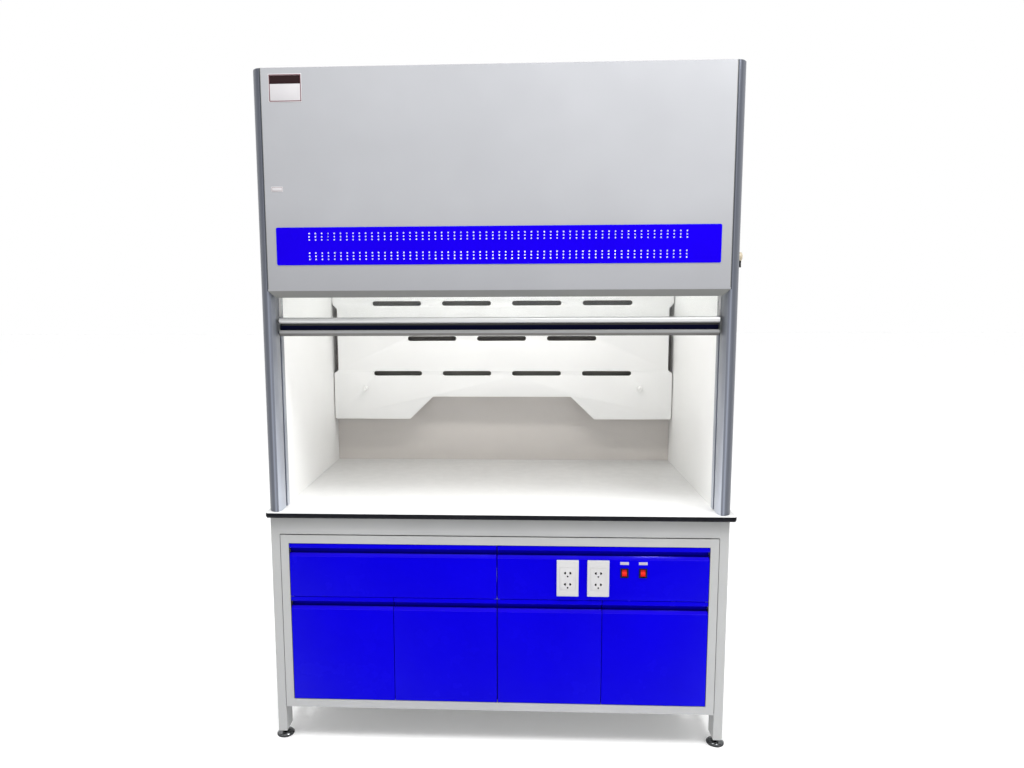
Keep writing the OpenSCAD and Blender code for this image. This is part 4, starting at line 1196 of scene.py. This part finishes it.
def make_lamp_tubes():
    x0, x1, y0, y1, z0, z1 = extent("lamp_tubes")
    length, radius, cap = x1 - x0, (z1 - z0) / 2, 26
    thin, neck = radius - 0.2, radius - 0.8
    tube = [(0, cap - 2), (neck, cap - 2), (thin, cap), (thin, length - cap),
            (neck, length - cap + 2), (0, length - cap + 2)]
    tubes, caps = bmesh.new(), bmesh.new()
    for cy in (y0 + radius, y1 - radius):
        at = (x0, cy, (z0 + z1) / 2)
        lathe(tubes, tube, at, "x", 32)
        for a, b in ((0, cap), (length - cap, length)):
            profile = [(0, a), (radius - 1, a), (radius, a + 1), (radius, b - 1), (radius - 1, b), (0, b)]
            lathe(caps, profile, at, "x", 32)
    finish_piece("lamp_tube_glass", tubes, ["lamp_light"], "lamp_tubes")
    finish_piece("lamp_tube_caps", caps, ["plated_steel"])


# ---------------- side fittings


def make_supply_outlet():
    """Round cap on the right side with a ribbed cable gland below it."""
    x0, x1, y0, y1, z0, z1 = extent("supply_outlet")
    r = (y1 - y0) / 2
    cy, depth, rim = y0 + r, x1 - x0, 6
    cap = [(0, 0), (r, 0), (r, 2.5), (r - 0.9, 3.1), (r - 0.9, depth - rim)]
    cap += arc(10, depth - rim, r - 10.9, rim, 10, 90, 8) + [(0, depth)]
    bm = bmesh.new()
    lathe(bm, cap, (x0, cy, z1 - r), "x", 44)
    finish_piece("supply_outlet_cap", bm, ["cream_plastic"], "supply_outlet")

    bore, body, groove, length = 4.5, 8.0, 7.1, 20.5
    profile = [(bore, 0), (7.2, 0), (body, 0.8), (body, 3.4)]
    h = 3.4
    while h < 15:
        profile += [(groove, h + 0.4), (groove, h + 1.0), (body, h + 1.4), (body, h + 2.2)]
        h += 2.2
    profile += [(body, length), (bore, length), (bore, 0)]
    gland = bmesh.new()
    lathe(gland, profile, (x0 + 24, cy, z0), "z", 32)
    finish_piece("supply_gland", gland, ["black_plastic"])


def make_screws():
    """Cross-head screws along the front and rear edges of the side panels."""
    _, _, y0, y1, z0, z1 = extent("side_panel_screws")
    panel = extent("side_panels")[1]
    r, count = 4, 5
    head = [(0, 0), (r, 0), (r, 0.35), (r - 0.5, 0.95), (r - 1.5, 1.35), (0, 1.5)]
    # The cross is one outline, made of a quarter that is turned three times
    long, short = 1.9, 0.35
    quarter = [(long, -short), (long, short), (short, short)]
    cross = []
    for _ in range(4):
        cross += quarter
        quarter = [(-v, u) for u, v in quarter]
    heads = bmesh.new()
    for y in (y0 + r, y1 - r):
        for i in range(count):
            z = z0 + r + (z1 - z0 - 2 * r) * i / (count - 1)
            screw, recess = bmesh.new(), bmesh.new()
            lathe(screw, head, (panel, y, z), "x", 24)
            prism(recess, "x", [(y + u, z + v) for u, v in cross], panel + 0.7, panel + 2)
            merge(heads, carve(screw, recess))
    merge(heads, mirrored(heads))
    finish_piece("side_screw_heads", heads, ["plated_steel"], "side_panel_screws")


# ---------------- CAD pieces that stay as they are

CAD_LOOKS = {
    "reveal_steel": ["cabinet_sides", "cabinet_top"],
    "frame_steel": ["cabinet_bottom", "cabinet_back", "cabinet_divider", "cabinet_midrail",
                    "cupboard_shelves", "drawer_box", "side_panels", "rear_panel", "roof_panel"],
    "galvanised": ["drawer_fixed_runners", "drawer_moving_runners", "service_back_box",
                   "exhaust_collar", "lamp_housing"],
    "plated_steel": ["door_pivot_pins"],
    "liner_white": ["side_linings", "upper_baffle", "ceiling_lining"],
    "rear_white_shaded": ["rear_lining"],
    "white_plastic": ["baffle_spacers"],
    "black_plastic": ["pulleys"],
    "sash_glass": ["sash_glass"],
    "lamp_glass": ["lamp_cover"],
    "cable_steel": ["cable_turns"],
    "shaft_steel": ["cross_shaft"],
    "weight_steel": ["shaft_bearings", "left_counterweight", "right_counterweight"],
}


def dress_cad():
    for look, nodes in CAD_LOOKS.items():
        for name in nodes:
            if not NODES[name].material_slots:
                NODES[name].data.materials.append(M[look])
            for entry in NODES[name].material_slots:
                entry.material = M[look]
    # The edges of the carcass that lie behind the fronts are in their shade
    for name in ("cabinet_divider", "cabinet_midrail"):
        mesh = NODES[name].data
        mesh.materials.append(M["gap_shade"])
        for face in mesh.polygons:
            if (NODES[name].matrix_world.to_3x3() @ face.normal).y < -0.9:
                face.material_index = len(mesh.materials) - 1


# ---------------- everything together

make_frame_looks()
make_fascia_looks()
make_blue_looks()
make_lining_looks()
make_worktop_look()
make_post_looks()
make_metal_looks()
make_plastic_looks()
make_lamp_look()
clear_pane("sash_glass", (0.985, 0.992, 0.99), 0.015, 0.03)
clear_pane("lamp_glass", (0.97, 0.98, 1.0), 0.10, 0.12)
make_camera()
make_sky()
make_lights()
make_floor()
dress_cad()
make_legs()
make_rails()
make_feet()
make_doors()
make_upper_fronts()
make_sockets()
make_bezels()
make_rockers()
make_labels()
make_worktop()
make_posts()
make_fascia()
make_band()
handle_outline = make_handle()
make_sash_channels()
make_end_caps(handle_outline)
make_cables()
make_baffle()
make_knobs()
make_lamp_tubes()
make_supply_outlet()
make_screws()
